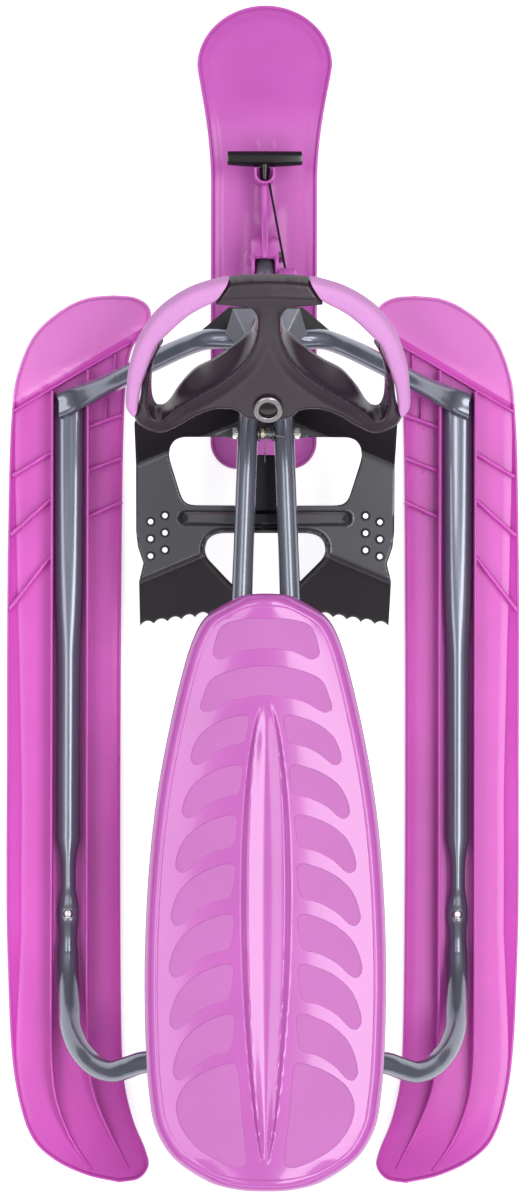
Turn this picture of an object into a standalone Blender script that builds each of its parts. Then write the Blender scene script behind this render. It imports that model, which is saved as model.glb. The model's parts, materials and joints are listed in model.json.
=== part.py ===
"""Steering sled: a front ski under a steering wheel, two side skis, a tube frame, a seat and a foot brake.

The sled faces -Y, the rider's left is +X and +Z is up. All sizes are in metres. The origin is on the
ground, under the middle of the sled. Places along the sled are written from a datum DATUM_Y in front of
it, and one empty carries the sled there. Run it with blender --background --python part.py.
"""
import math

import bmesh
import bpy
import numpy as np
from mathutils import Matrix, Vector

# The datum that places are written from, seen from the middle of the sled
DATUM_Y = 0.004

# Clearances
GAP = 0.0003
MERGE = 0.000005

# Steering column: a line from the face of the wheel's hub down and forward to the front ski
RAKE = math.radians(32.0)
HUB_Y = -0.181
HUB_Z = 0.305
PIVOT_DISTANCE = 0.300
COLUMN_RADIUS = 0.009
COLUMN_WALL = 0.0015
COLUMN_TOP = 0.014
COLUMN_FOOT = 0.011
PIN_RADIUS = 0.003
PIN_HEAD_RADIUS = 0.0065
PIN_HEAD_HEIGHT = 0.004
WHEEL_BOLT_DISTANCE = 0.042
WHEEL_BOLT_HEAD_RADIUS = 0.0055
WHEEL_BOLT_HEAD_HEIGHT = 0.0032
BOLT_SPARE = 0.001

# Head of the frame
HEAD_TOP = 0.125
HEAD_LENGTH = 0.087
HEAD_RADIUS = 0.016
BUSH_WALL = 0.0018
BUSH_LENGTH = 0.014
FLANGE = 0.002
COLLAR_LENGTH = 0.006
COLLAR_RADIUS = 0.0135
BRACKET_SHEET = 0.003
BRACKET_TOP_Z = 0.176
BRACKET_FRONT_Y = -0.283
BRACKET_REAR_Y = -0.247
BRACKET_FOLD = 0.027
BRACKET_HALF_WIDTH = 0.043
BRACKET_EDGE_DROP = 0.011
GUSSET_SHEET = 0.0035
# The gusset's left half, seen from above
GUSSET_HALF = ((0.036, -0.286), (0.062, -0.264), (0.058, -0.252), (0.030, -0.240))
# How far the cut for the head tube runs past both ends of the tube
HEAD_CUT_REACH = 0.025

# Wheel
WHEEL_DEPTH = 0.021
WHEEL_ROUNDING = 0.005
BOSS_RADIUS = 0.018
BOSS_LENGTH = 0.062
CORE_RADIUS = 0.0048
CAP_RADIUS = 0.0142
CAP_HEIGHT = 0.0022

# Frame tubes
TUBE_WALL = 0.0012
TUBE_SIDES = 12
RAIL_RADIUS = 0.011
RAIL_X = 0.194
RAIL_FLAT_HALF_WIDTH = 0.0145
RAIL_FLAT_HALF_HEIGHT = 0.006
RAIL_SCREW_HALF_HEIGHT = 0.0058
BEAM_RADIUS = 0.010
BEAM_FRONT = (0.0145, -0.2433, 0.157)
BEAM_BEND = (0.0245, 0.030, 0.205)
BEAM_REAR_Y = 0.4585
CROSS_RADIUS = 0.010
CROSS_Y = -0.2545
CROSS_Z = 0.152
CROSS_END_HALF_HEIGHT = 0.008
CROSS_END_LIFT = 0.0018
CROSS_END_SPREAD = 0.003
CROSS_INNER_X = 0.0165

# Side skis
SKI_SHEET = 0.005
SKI_COLUMNS = 6
SIDE_SKI_WALL_TOP = 0.033
WALL_THICKNESS = 0.003
LIP_HEIGHT = 0.006
LIP_THICKNESS = 0.003
OUTER_WALL_X = 0.2115
INNER_WALL_X = 0.1755
TIP_SLOPE = math.tan(math.radians(33.0))
TIP_ROUNDING = 0.012
TAIL_RISE_START = 0.440
TAIL_RISE = 0.040
SIDE_SKI_TAIL_Y = 0.578
SKI_SCREW_Y = 0.313
SCREW_RADIUS = 0.0025
SCREW_HEAD_RADIUS = 0.005
SCREW_HEAD_HEIGHT = 0.0028

# Front ski
FRONT_TIP_HALF_WIDTH = 0.067
FRONT_TIP_REACH = 0.0548
FRONT_TIP_CENTRE_Y = -0.5312
FRONT_HALF_WIDTH = 0.053
FRONT_WAIST_Y = -0.415
FRONT_WAIST_POWER = 0.65
FRONT_TAIL_Y = -0.131
FRONT_TAIL_CORNER = 0.027
FRONT_RISE_START = -0.450
FRONT_RISE = 0.078
TOWER_SHEET = 0.0035
TOWER_CLEARANCE = 0.001
TOWER_HEIGHT = 0.037
TOWER_FRONT_REACH = 0.0185
FIN_THICKNESS = 0.005
CUP_Y = -0.412
CUP_HALF_WIDTH = 0.0105
CUP_WALL = 0.0027
CUP_DEPTH = 0.016
CUP_TOP_Z = 0.063

# Tow rope, its handle and its reel
ROPE_RADIUS = 0.0012
ROPE_FRONT = (-0.0030, -0.4185, 0.0505)
ROPE_REAR = (-0.0255, -0.2965, 0.0690)
ROPE_HOLE_RADIUS = 0.0022
HANDLE_LENGTH = 0.075
HANDLE_RADIUS = 0.0070
HANDLE_TRAVEL = 0.030
REEL_RADIUS = 0.025
REEL_WALL = 0.0018
REEL_RIM = 0.0030
REEL_NEAR_X = -0.0142
REEL_FAR_X = -0.0305
WINDING_RADIUS = 0.015
SPOOL_HUB_RADIUS = 0.0065
SPOOL_FLANGE = 0.001
AXLE_RADIUS = 0.0022
AXLE_HEAD_RADIUS = 0.0055
AXLE_HEAD_HEIGHT = 0.0022
AXLE_SHORT = 0.0008
SPOOL_NEAR_ROOM = 0.0040
SPOOL_FAR_ROOM = 0.0006
FLANGE_REACH = 0.006
REWIND_TURNS = 3.0
REWIND_STEPS = 46
REWIND_SHEET = 0.0006
REWIND_WIDTH = 0.0028
REWIND_ROOM = 0.0005

# Brake
BRAKE_PIVOT_Y = -0.162
BRAKE_Z = 0.135
BRAKE_SHEET = 0.0025
BRAKE_FRONT_SLOPE = 0.70
BRAKE_REAR_SLOPE = 1.20
FRONT_FOLD_EDGE_Y = -0.132
REAR_FOLD_EDGE_Y = -0.0165
FOLD_SWEEP = 0.42
BRAKE_HALF_WIDTH = 0.126
EAR_INNER_X = 0.0053
EAR_SHEET = 0.0018
BRAKE_BOLT_RADIUS = 0.003
NUT_RADIUS = 0.0062
NUT_HEIGHT = 0.0048
BEAD_RADIUS = 0.008
BEAD_Y = -0.080
BEAD_HALF_LENGTH = 0.086
FOOT_HOLE_RADIUS = 0.0027
TOOTH_PITCH = 0.0137
TOOTH_DEPTH = 0.0040
SPRING_WIRE = 0.0006
SPRING_RADIUS = 0.0052
SPRING_PITCH = 0.00165
SPRING_TURNS = 2.75
SPACER_END_X = 0.0016
SPACER_RADIUS = 0.0048

# Seat
SEAT_SHEET = 0.0035
SEAT_FRONT_Y = -0.0067
SEAT_REAR_Y = 0.570
SEAT_CROWN_Z = 0.232
SEAT_EDGE_DROP = 0.010
SEAT_SKIRT = 0.026
SEAT_RIDGE_HEIGHT = 0.006
SEAT_NOTCH_ROOM = 0.001
SEAT_PLATE_SHEET = 0.003
SEAT_PLATE_HALF_WIDTH = 0.052
SEAT_PLATE_LENGTH = 0.040
SEAT_PLATE_FRONT_Y = 0.095
SEAT_PLATE_REAR_Y = 0.405
SEAT_SCREW_INSET = 0.009
SEAT_SCREW_X = SEAT_PLATE_HALF_WIDTH - SEAT_SCREW_INSET
BOSS_OUTER_RADIUS = 0.0065

# Colours and finishes: red, green, blue, roughness, metallic
FINISHES = {
    "pink_plastic": (0.58, 0.11, 0.49, 0.35, 0.0),
    "seat_plastic": (0.62, 0.14, 0.55, 0.22, 0.0),
    "pink_grip": (0.74, 0.33, 0.72, 0.60, 0.0),
    "black_plastic": (0.05, 0.045, 0.05, 0.45, 0.0),
    "grey_paint": (0.12, 0.13, 0.15, 0.35, 0.4),
    "black_paint": (0.045, 0.035, 0.045, 0.45, 0.2),
    "zinc": (0.60, 0.60, 0.58, 0.30, 1.0),
    "yellow_zinc": (0.55, 0.55, 0.36, 0.40, 0.8),
    "spring_steel": (0.20, 0.20, 0.20, 0.35, 1.0),
    "white_plastic": (0.70, 0.70, 0.68, 0.45, 0.0),
    "rope": (0.02, 0.02, 0.02, 0.80, 0.0),
}

# Steps round a turned piece, and round a small one
ROUND_STEPS = 24
SMALL_STEPS = 12


def clear_scene():
    """Remove the objects that the file opened with."""
    for old in list(bpy.data.objects):
        bpy.data.objects.remove(old, do_unlink=True)


def new_collection(name):
    """Make a collection in the scene."""
    collection = bpy.data.collections.new(name)
    bpy.context.scene.collection.children.link(collection)
    return collection


clear_scene()
SLED = new_collection("steering_sled")
CUTTERS = new_collection("cutters")
MATERIALS = {}


def finish(name):
    """The material of a finish, made once."""
    if name not in MATERIALS:
        red, green, blue, roughness, metallic = FINISHES[name]
        material = bpy.data.materials.new(name)
        material.use_nodes = True
        shader = material.node_tree.nodes["Principled BSDF"]
        shader.inputs["Base Color"].default_value = (red, green, blue, 1.0)
        shader.inputs["Roughness"].default_value = roughness
        shader.inputs["Metallic"].default_value = metallic
        MATERIALS[name] = material
    return MATERIALS[name]


def add_part(name, data, look, frame=Matrix()):
    """Add an object with its material to the sled."""
    part = bpy.data.objects.new(name, data)
    SLED.objects.link(part)
    part.matrix_world = frame
    data.materials.clear()
    data.materials.append(finish(look))
    return part


def tidy_mesh(mesh, turn_outwards=True):
    """Weld the doubles of a mesh and point its faces outwards."""
    edit = bmesh.new()
    edit.from_mesh(mesh)
    bmesh.ops.remove_doubles(edit, verts=edit.verts, dist=MERGE)
    bmesh.ops.dissolve_degenerate(edit, edges=edit.edges, dist=MERGE)
    if turn_outwards:
        bmesh.ops.recalc_face_normals(edit, faces=edit.faces)
    edit.to_mesh(mesh)
    edit.free()


def shade(part, angle=35.0):
    """Shade round faces smooth and keep the edges sharp."""
    part.data.shade_smooth()
    part.data.set_sharp_from_angle(angle=math.radians(angle))


def as_mesh(part):
    """Turn a curve, or an object with modifiers, into a plain mesh object of the same name."""
    bpy.context.view_layer.update()
    graph = bpy.context.evaluated_depsgraph_get()
    mesh = bpy.data.meshes.new_from_object(part.evaluated_get(graph))
    tidy_mesh(mesh)
    name = part.name
    frame = part.matrix_world.copy()
    look = part.data.materials[0].name
    bpy.data.objects.remove(part, do_unlink=True)
    return add_part(name, mesh, look, frame)


def mesh_part(name, points, faces, look, turn_outwards=True):
    """Make an object from points and faces given in the sled's frame."""
    mesh = bpy.data.meshes.new(name)
    mesh.from_pydata([tuple(point) for point in points], [], faces)
    tidy_mesh(mesh, turn_outwards)
    part = add_part(name, mesh, look)
    shade(part)
    return part


def loft(name, rings, look):
    """Join rings of points, all of one count, into a closed body with flat ends."""
    count = len(rings[0])
    points = [point for ring in rings for point in ring]
    faces = []
    for row in range(len(rings) - 1):
        for column in range(count):
            after = (column + 1) % count
            low = row * count
            high = low + count
            faces.append((low + column, low + after, high + after, high + column))
    faces.append(tuple(reversed(range(count))))
    last = (len(rings) - 1) * count
    faces.append(tuple(range(last, last + count)))
    return mesh_part(name, points, faces, look)


def hollow_tube(name, path, ways, half_widths, half_heights, side, look, end_slant=0.0):
    """Make an open-ended oval tube along a path.

    Ways are the path's directions, and side is the direction of the oval's width at the first point. The
    first end can be cut aslant: it moves along Y by end_slant for each step in X.
    """
    angles = np.linspace(0.0, 2 * math.pi, TUBE_SIDES, endpoint=False)
    side = np.array(side)
    outer = []
    bore = []
    for point, way, half_width, half_height in zip(path, ways, half_widths, half_heights):
        side = side - way * side.dot(way)
        side /= np.linalg.norm(side)
        top = np.cross(side, way)
        for rings, wall in ((outer, 0.0), (bore, TUBE_WALL)):
            rings.append([point + side * ((half_width - wall) * math.cos(angle))
                          + top * ((half_height - wall) * math.sin(angle)) for angle in angles])
    for rings in (outer, bore):
        rings[0] = [corner + np.array((0.0, end_slant * (corner[0] - path[0][0]), 0.0)) for corner in rings[0]]
    loop = [*outer, *reversed(bore), outer[0]]
    points = [corner for ring in loop[:-1] for corner in ring]
    faces = []
    for row in range(len(loop) - 1):
        low = row * TUBE_SIDES
        high = (row + 1) % (len(loop) - 1) * TUBE_SIDES
        for column in range(TUBE_SIDES):
            after = (column + 1) % TUBE_SIDES
            faces.append((low + column, low + after, high + after, high + column))
    return mesh_part(name, points, faces, look)


def directions(path, first=None, last=None):
    """Unit directions along a path, with its first or last one given."""
    ways = np.gradient(np.array(path), axis=0)
    if first is not None:
        ways[0] = first
    if last is not None:
        ways[-1] = last
    return ways / np.linalg.norm(ways, axis=1)[:, None]


def grid_sheet(name, rows, thickness, look):
    """Make a sheet from rows of points, thickened upwards. Rows run to +X and follow each other to +Y."""
    count = len(rows[0])
    points = [point for row in rows for point in row]
    faces = []
    for row in range(len(rows) - 1):
        for column in range(count - 1):
            corner = row * count + column
            faces.append((corner, corner + 1, corner + count + 1, corner + count))
    part = mesh_part(name, points, faces, look, turn_outwards=False)
    wall = part.modifiers.new("sheet", "SOLIDIFY")
    wall.thickness = thickness
    wall.offset = 1.0
    wall.use_even_offset = False
    return part


def tube(name, points, radius, look, resolution=4):
    """Make a round tube or wire along points, as a curve with filled caps."""
    curve = bpy.data.curves.new(name, "CURVE")
    curve.dimensions = "3D"
    curve.bevel_depth = radius
    curve.bevel_resolution = resolution
    curve.use_fill_caps = True
    spline = curve.splines.new("POLY")
    spline.points.add(len(points) - 1)
    for place, point in zip(spline.points, points):
        place.co = (point[0], point[1], point[2], 1.0)
    return add_part(name, curve, look)


def plate(name, outline, depth, look, frame, holes=(), rounding=0.0):
    """Cut a plate from a flat outline with holes. It is centred on the frame's XY plane."""
    curve = bpy.data.curves.new(name, "CURVE")
    curve.dimensions = "2D"
    curve.fill_mode = "BOTH"
    curve.extrude = depth / 2 - rounding
    curve.bevel_depth = rounding
    curve.bevel_resolution = 1
    curve.offset = -rounding
    for loop in (outline, *holes):
        spline = curve.splines.new("POLY")
        spline.points.add(len(loop) - 1)
        spline.use_cyclic_u = True
        for place, point in zip(spline.points, loop):
            place.co = (point[0], point[1], 0.0, 1.0)
    part = as_mesh(add_part(name, curve, look, frame))
    shade(part)
    return part


def turned(name, profile, frame, look, steps=ROUND_STEPS):
    """Turn a profile of (radius, height) points round the frame's Z axis.

    The profile runs down its outer side. One that starts and ends on the axis is left open there.
    """
    on_axis = profile[0][0] == 0.0
    mesh = bpy.data.meshes.new(name)
    edges = [(index, index + 1) for index in range(len(profile) - 1)]
    if not on_axis:
        edges.append((len(profile) - 1, 0))
    mesh.from_pydata([(radius, 0.0, height) for radius, height in profile], edges, [])
    part = add_part(name, mesh, look, frame)
    screw = part.modifiers.new("turn", "SCREW")
    screw.steps = steps
    screw.render_steps = steps
    screw.use_normal_calculate = False
    screw.use_merge_vertices = on_axis
    screw.merge_threshold = 0.00001
    part = as_mesh(part)
    shade(part)
    return part


def drum(name, start, end, radius, look, sides=ROUND_STEPS):
    """Make a cylinder between two points."""
    start = Vector(start)
    end = Vector(end)
    mesh = bpy.data.meshes.new(name)
    edit = bmesh.new()
    bmesh.ops.create_cone(edit, cap_ends=True, segments=sides, radius1=radius, radius2=radius,
                          depth=(end - start).length)
    edit.to_mesh(mesh)
    edit.free()
    part = add_part(name, mesh, look, axis_frame((start + end) / 2, end - start))
    shade(part)
    return part


def box(name, low, high, look):
    """Make a box between two corners."""
    size = Vector(high) - Vector(low)
    mesh = bpy.data.meshes.new(name)
    edit = bmesh.new()
    bmesh.ops.create_cube(edit, size=1.0, matrix=Matrix.Diagonal((*size, 1.0)))
    edit.to_mesh(mesh)
    edit.free()
    return add_part(name, mesh, look, Matrix.Translation((Vector(low) + Vector(high)) / 2))


def axis_frame(origin, direction):
    """A frame at a point, with its Z axis along a direction."""
    turn = Vector(direction).to_track_quat("Z", "Y").to_matrix().to_4x4()
    return Matrix.Translation(Vector(origin)) @ turn


def side_frame(x):
    """A frame whose X is the sled's Y, whose Y is up and whose Z is the sled's X, at x."""
    return Matrix(((0.0, 0.0, 1.0, x), (1.0, 0.0, 0.0, 0.0), (0.0, 1.0, 0.0, 0.0), (0.0, 0.0, 0.0, 1.0)))


def combine(part, others, operation):
    """Add live Boolean modifiers to a part, with the other objects kept among the cutters."""
    for other in others:
        if other.type == "CURVE":
            other = as_mesh(other)
        SLED.objects.unlink(other)
        CUTTERS.objects.link(other)
        other.hide_render = True
        other.display_type = "WIRE"
        step = part.modifiers.new(other.name, "BOOLEAN")
        step.operation = operation
        step.solver = "EXACT"
        step.object = other
    return part


def join(part, *others):
    """Unite other shapes with a part."""
    return combine(part, others, "UNION")


def cut(part, *others):
    """Cut other shapes out of a part."""
    return combine(part, others, "DIFFERENCE")


def mirrored(part, name):
    """Make the right-hand twin of a left-hand part, as its own object."""
    bpy.context.view_layer.update()
    graph = bpy.context.evaluated_depsgraph_get()
    mesh = bpy.data.meshes.new_from_object(part.evaluated_get(graph))
    mesh.transform(Matrix.Diagonal((-1.0, 1.0, 1.0, 1.0)) @ part.matrix_world)
    tidy_mesh(mesh)
    look = part.data.materials[0].name
    twin = add_part(name, mesh, look)
    shade(twin)
    return twin


def smooth_route(controls, count):
    """Points evenly spaced along a Catmull-Rom curve through the control points."""
    knots = np.array(controls, dtype=float)
    ends = np.vstack((2 * knots[0] - knots[1], knots, 2 * knots[-1] - knots[-2]))
    share = np.linspace(0.0, 1.0, 24, endpoint=False)[:, None]
    spans = []
    for index in range(len(knots) - 1):
        a, b, c, d = ends[index:index + 4]
        spans.append(0.5 * (2 * b + (c - a) * share + (2 * a - 5 * b + 4 * c - d) * share ** 2
                            + (3 * b - a - 3 * c + d) * share ** 3))
    dense = np.vstack((*spans, knots[-1:]))
    lengths = np.concatenate(([0.0], np.cumsum(np.linalg.norm(np.diff(dense, axis=0), axis=1))))
    wanted = np.linspace(0.0, lengths[-1], count)
    return np.column_stack([np.interp(wanted, lengths, dense[:, axis]) for axis in range(knots.shape[1])])


def upright_wall(name, path, thickness, heights, look, sink=0.002, closed=False):
    """Stand a thin wall on a path of floor points. It reaches a little into the floor to join it."""
    path = np.array(path, dtype=float)
    heights = np.broadcast_to(heights, len(path))
    if closed:
        along = np.roll(path, -1, axis=0) - np.roll(path, 1, axis=0)
    else:
        along = np.gradient(path, axis=0)
    across = np.column_stack((-along[:, 1], along[:, 0], np.zeros(len(path))))
    across *= thickness / 2 / np.linalg.norm(across, axis=1)[:, None]
    up = np.array((0.0, 0.0, 1.0))
    rings = []
    for point, shift, height in zip(path, across, heights):
        rings.append((point - shift - up * sink, point + shift - up * sink,
                      point + shift + up * height, point - shift + up * height))
    if not closed:
        return loft(name, rings, look)
    points = [corner for ring in rings for corner in ring]
    faces = []
    for row in range(len(rings)):
        low = 4 * row
        high = 4 * ((row + 1) % len(rings))
        for column in range(4):
            after = (column + 1) % 4
            faces.append((low + column, low + after, high + after, high + column))
    return mesh_part(name, points, faces, look)


def print_least_gap(name, path, thickness):
    """Print the least gap of a wound form: the closest that its line comes to itself, less its thickness.

    Places nearer along the line than four thicknesses are neighbours, and aren't counted.
    """
    lengths = np.concatenate(([0.0], np.cumsum(np.linalg.norm(np.diff(path, axis=0), axis=1))))
    apart = np.linalg.norm(path[:, None, :] - path[None, :, :], axis=2)
    apart[np.abs(lengths[:, None] - lengths[None, :]) < 4 * thickness] = np.inf
    print(f"{name}: least gap {(apart.min() - thickness) * 1000:.2f} mm")


def hinge_empty(name, origin, direction):
    """An empty on a joint's axis, which carries the pieces that move."""
    empty = bpy.data.objects.new(name, None)
    empty.empty_display_size = 0.03
    SLED.objects.link(empty)
    empty.matrix_world = axis_frame(origin, direction)
    return empty


def carry(empty, *parts):
    """Parent parts to an empty and leave them where they are."""
    bpy.context.view_layer.update()
    for part in parts:
        frame = part.matrix_world.copy()
        part.parent = empty
        part.matrix_parent_inverse = empty.matrix_world.inverted()
        part.matrix_world = frame


def bolt(name, start, end, radius, head_radius, head_height, look):
    """A bolt from under its head to its end, with the head beyond the start."""
    length = (Vector(end) - Vector(start)).length
    frame = axis_frame(start, Vector(end) - Vector(start))
    profile = ((0.0, length), (radius, length), (radius, 0.0), (head_radius, 0.0),
               (head_radius, -0.7 * head_height), (0.7 * head_radius, -head_height), (0.0, -head_height))
    return turned(name, profile, frame, look, SMALL_STEPS)


def nut(name, start, end, bore, look, radius=NUT_RADIUS):
    """A hexagon nut between two points, with a bore that clears its bolt."""
    body = drum(name, start, end, radius, look, 6)
    reach = (Vector(end) - Vector(start)) * 0.5
    hole = drum(name + "_bore", Vector(start) - reach, Vector(end) + reach, bore + GAP, look, SMALL_STEPS)
    return cut(body, hole)


# Column geometry
COLUMN_DOWN = np.array((0.0, -math.sin(RAKE), -math.cos(RAKE)))
HUB = np.array((0.0, HUB_Y, HUB_Z))


def on_column(distance, across=0.0):
    """The point at a distance down the steering axis from the hub's face, moved across to the left."""
    return HUB + COLUMN_DOWN * distance + np.array((across, 0.0, 0.0))


SKI_PIVOT = on_column(PIVOT_DISTANCE)
COLUMN_FRAME = axis_frame(HUB, -COLUMN_DOWN)
# The wheel's plane: X to the rider's right, Y forward and up, Z towards the rider
WHEEL_FRAME = Matrix((
    (-1.0, 0.0, 0.0, 0.0),
    (0.0, -math.cos(RAKE), math.sin(RAKE), HUB_Y),
    (0.0, math.sin(RAKE), math.cos(RAKE), HUB_Z),
    (0.0, 0.0, 0.0, 1.0),
))
BOW_Z = BEAM_BEND[2] - BEAM_RADIUS - GAP - RAIL_RADIUS


def beam_height(y):
    """Height of the main beams' centre line at a place along the sled."""
    share = min(1.0, max(0.0, (y - BEAM_FRONT[1]) / (BEAM_BEND[1] - BEAM_FRONT[1])))
    return BEAM_FRONT[2] + share * (BEAM_BEND[2] - BEAM_FRONT[2])


def beam_side(y):
    """Distance of the main beams' centre line from the middle at a place along the sled."""
    share = min(1.0, max(0.0, (y - BEAM_FRONT[1]) / (BEAM_BEND[1] - BEAM_FRONT[1])))
    return BEAM_FRONT[0] + share * (BEAM_BEND[0] - BEAM_FRONT[0])


BRAKE_PIVOT = np.array((0.0, BRAKE_PIVOT_Y, beam_height(BRAKE_PIVOT_Y)))


# Side skis
SIDE_SKI_OUTER = ((0.150, -0.3030), (0.175, -0.3000), (0.197, -0.2905), (0.228, -0.2640), (0.2465, -0.2220),
                  (0.2515, -0.1850), (0.2550, -0.0640), (0.2560, 0.1500), (0.2545, 0.3610), (0.2460, 0.4840),
                  (0.2290, 0.5360), (0.2080, 0.5560), (0.1750, 0.5710), (0.1420, 0.5780))
SIDE_SKI_INNER = ((0.150, -0.3030), (0.128, -0.3010), (0.1160, -0.2940), (0.1125, -0.2840), (0.1190, -0.2680),
                  (0.1310, -0.2520), (0.1370, -0.2200), (0.1400, -0.1600), (0.1400, 0.4500), (0.1370, 0.4850),
                  (0.1280, 0.5200), (0.1160, 0.5480), (0.1130, 0.5620), (0.1220, 0.5740), (0.1420, 0.5780))
TIP_RIB_OUTER = (0.2500, -0.1880)
TIP_RIB_INNER = (0.1340, -0.2560)
BULKHEADS = (((0.2520, -0.1230), (0.2120, -0.1470)), ((0.2530, -0.0650), (0.2120, -0.1010)),
             ((0.2540, 0.0090), (0.2120, -0.0450)), ((0.1750, -0.1720), (0.1430, -0.1840)),
             ((0.1750, -0.1290), (0.1430, -0.1410)), ((0.1750, -0.0830), (0.1430, -0.0980)))
BULKHEAD_HEIGHT = 0.012
TIP_RIB_HEIGHT = 0.010


def beyond_tip_line(x, y):
    """Distance in front of the slanted line that a side ski's tip folds up along."""
    across = np.array(TIP_RIB_INNER) - np.array(TIP_RIB_OUTER)
    across /= np.linalg.norm(across)
    return (x - TIP_RIB_OUTER[0]) * -across[1] + (y - TIP_RIB_OUTER[1]) * across[0]


def side_ski_floor(x, y):
    """Underside height of a side ski: flat, with a tip folded up along a slanted line and a rising tail."""
    beyond = max(0.0, beyond_tip_line(x, y))
    tip = TIP_SLOPE * (math.hypot(beyond, TIP_ROUNDING) - TIP_ROUNDING)
    behind = max(0.0, (y - TAIL_RISE_START) / (SIDE_SKI_TAIL_Y - TAIL_RISE_START))
    return tip + TAIL_RISE * behind ** 2


def side_ski_rows():
    """Rows of floor points across the left ski. At the tip they run parallel to its fold."""
    outline = np.vstack((smooth_route(SIDE_SKI_INNER, 260)[::-1], smooth_route(SIDE_SKI_OUTER, 260)[1:]))
    slant = (TIP_RIB_OUTER[1] - TIP_RIB_INNER[1]) / (TIP_RIB_OUTER[0] - TIP_RIB_INNER[0])
    fold = TIP_RIB_OUTER[1] + slant * (RAIL_X - TIP_RIB_OUTER[0])
    along = outline[:, 1] - slant * (outline[:, 0] - RAIL_X)
    pole = int(np.argmin(along))
    sides = (outline[:pole + 1][::-1], outline[pole:])
    ease = 0.5 - 0.5 * np.cos(np.linspace(0.0, math.pi / 2, 8)[1:])
    tip = along[pole] + (fold - TIP_ROUNDING - along[pole]) * ease / ease[-1]
    tail = SIDE_SKI_TAIL_Y - 0.130 * (0.5 - 0.5 * np.cos(np.linspace(0.0, math.pi, 11)))[:0:-1]
    middle = (fold, fold + TIP_ROUNDING, -0.160, -0.110, -0.060, 0.0, 0.150, 0.300, 0.400)
    rows = [[(*outline[pole], side_ski_floor(*outline[pole]))] * SKI_COLUMNS]
    for place in (*tip, *middle, *tail):
        share = min(1.0, max(0.0, -place / 0.160))
        row_slant = slant * share
        ends = []
        for side in sides:
            short = side[:, 1] - row_slant * (side[:, 0] - RAIL_X) - place
            last = int(np.max(np.nonzero(short < 0.0)))
            part = short[last] / (short[last] - short[last + 1])
            ends.append(side[last] + part * (side[last + 1] - side[last]))
        rows.append([(x, y, side_ski_floor(x, y)) for x, y in np.linspace(ends[0], ends[1], SKI_COLUMNS)])
    tail_point = SIDE_SKI_OUTER[-1]
    rows.append([(*tail_point, side_ski_floor(*tail_point))] * SKI_COLUMNS)
    return rows


def side_ski_left():
    """The left side ski: its sheet, lip, channel walls, tip rib and slanted bulkheads."""
    look = "pink_plastic"
    rows = side_ski_rows()
    ski = grid_sheet("side_ski_left", rows, SKI_SHEET, look)

    def floor_path(points):
        return [(x, y, side_ski_floor(x, y) + SKI_SHEET) for x, y in points]

    rim = np.array([row[-1][:2] for row in rows[:-1]] + [row[0][:2] for row in reversed(rows[1:])])
    along = np.roll(rim, -1, axis=0) - np.roll(rim, 1, axis=0)
    inward = np.column_stack((-along[:, 1], along[:, 0])) / np.linalg.norm(along, axis=1)[:, None]
    rim = rim + inward * (LIP_THICKNESS / 2 + GAP)
    lip = upright_wall("side_ski_lip", floor_path(rim), LIP_THICKNESS, LIP_HEIGHT, look, 0.003, closed=True)
    walls = []
    outer_wall = ((OUTER_WALL_X, -0.184), (OUTER_WALL_X, 0.1), (OUTER_WALL_X, 0.425), (0.2085, 0.475),
                  (0.2030, 0.503), (0.1880, 0.540), (0.1715, 0.5660))
    inner_wall = ((INNER_WALL_X, -0.182), (INNER_WALL_X, 0.1), (INNER_WALL_X, 0.420), (0.1735, 0.460),
                  (0.1680, 0.489), (0.1530, 0.528), (0.1350, 0.5675))
    for number, route in enumerate((outer_wall, inner_wall)):
        path = floor_path(smooth_route(route, 22))
        heights = [max(0.002, SIDE_SKI_WALL_TOP - point[2]) for point in path]
        walls.append(upright_wall(f"side_ski_wall_{number}", path, WALL_THICKNESS, heights, look, 0.003))
    ribs = [(f"bulkhead_{number}", ends, BULKHEAD_HEIGHT) for number, ends in enumerate(BULKHEADS)]
    ribs.append(("tip_rib", (TIP_RIB_OUTER, TIP_RIB_INNER), TIP_RIB_HEIGHT))
    for name, ends, height in ribs:
        path = floor_path(np.linspace(ends[0], ends[1], 3))
        walls.append(upright_wall(name, path, WALL_THICKNESS, height, look, 0.0034))
    join(ski, lip, *walls)
    screw_hole = drum("ski_screw_hole", (RAIL_X, SKI_SCREW_Y, -0.01), (RAIL_X, SKI_SCREW_Y, 0.02),
                      SCREW_RADIUS + GAP, look, SMALL_STEPS)
    return cut(ski, screw_hole)


# Side rails: half width and half height of the squeezed tube along the sled
RAIL_SQUEEZE = ((-0.209, 0.0165, RAIL_FLAT_HALF_HEIGHT), (-0.180, RAIL_FLAT_HALF_WIDTH, 0.0065),
                (-0.130, 0.0140, 0.0080), (0.035, 0.0130, 0.0090), (0.060, 0.0138, 0.0078),
                (0.225, 0.0135, 0.0080), (0.262, 0.0098, 0.0110), (0.292, 0.0098, 0.0105),
                (0.306, 0.0128, RAIL_SCREW_HALF_HEIGHT), (0.320, 0.0128, RAIL_SCREW_HALF_HEIGHT),
                (0.336, RAIL_RADIUS, RAIL_RADIUS))
RAIL_BEND = ((RAIL_X - 0.0005, 0.372, 0.024), (0.1918, 0.4046, 0.050), (0.1906, 0.4203, 0.066),
             (0.1859, 0.4339, 0.083), (0.1778, 0.4464, 0.100), (0.1638, 0.4579, 0.117),
             (0.1480, 0.4612, 0.132), (0.1323, 0.4560, 0.145), (0.1177, 0.4505, 0.156),
             (0.0850, 0.4480, 0.172))


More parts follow.
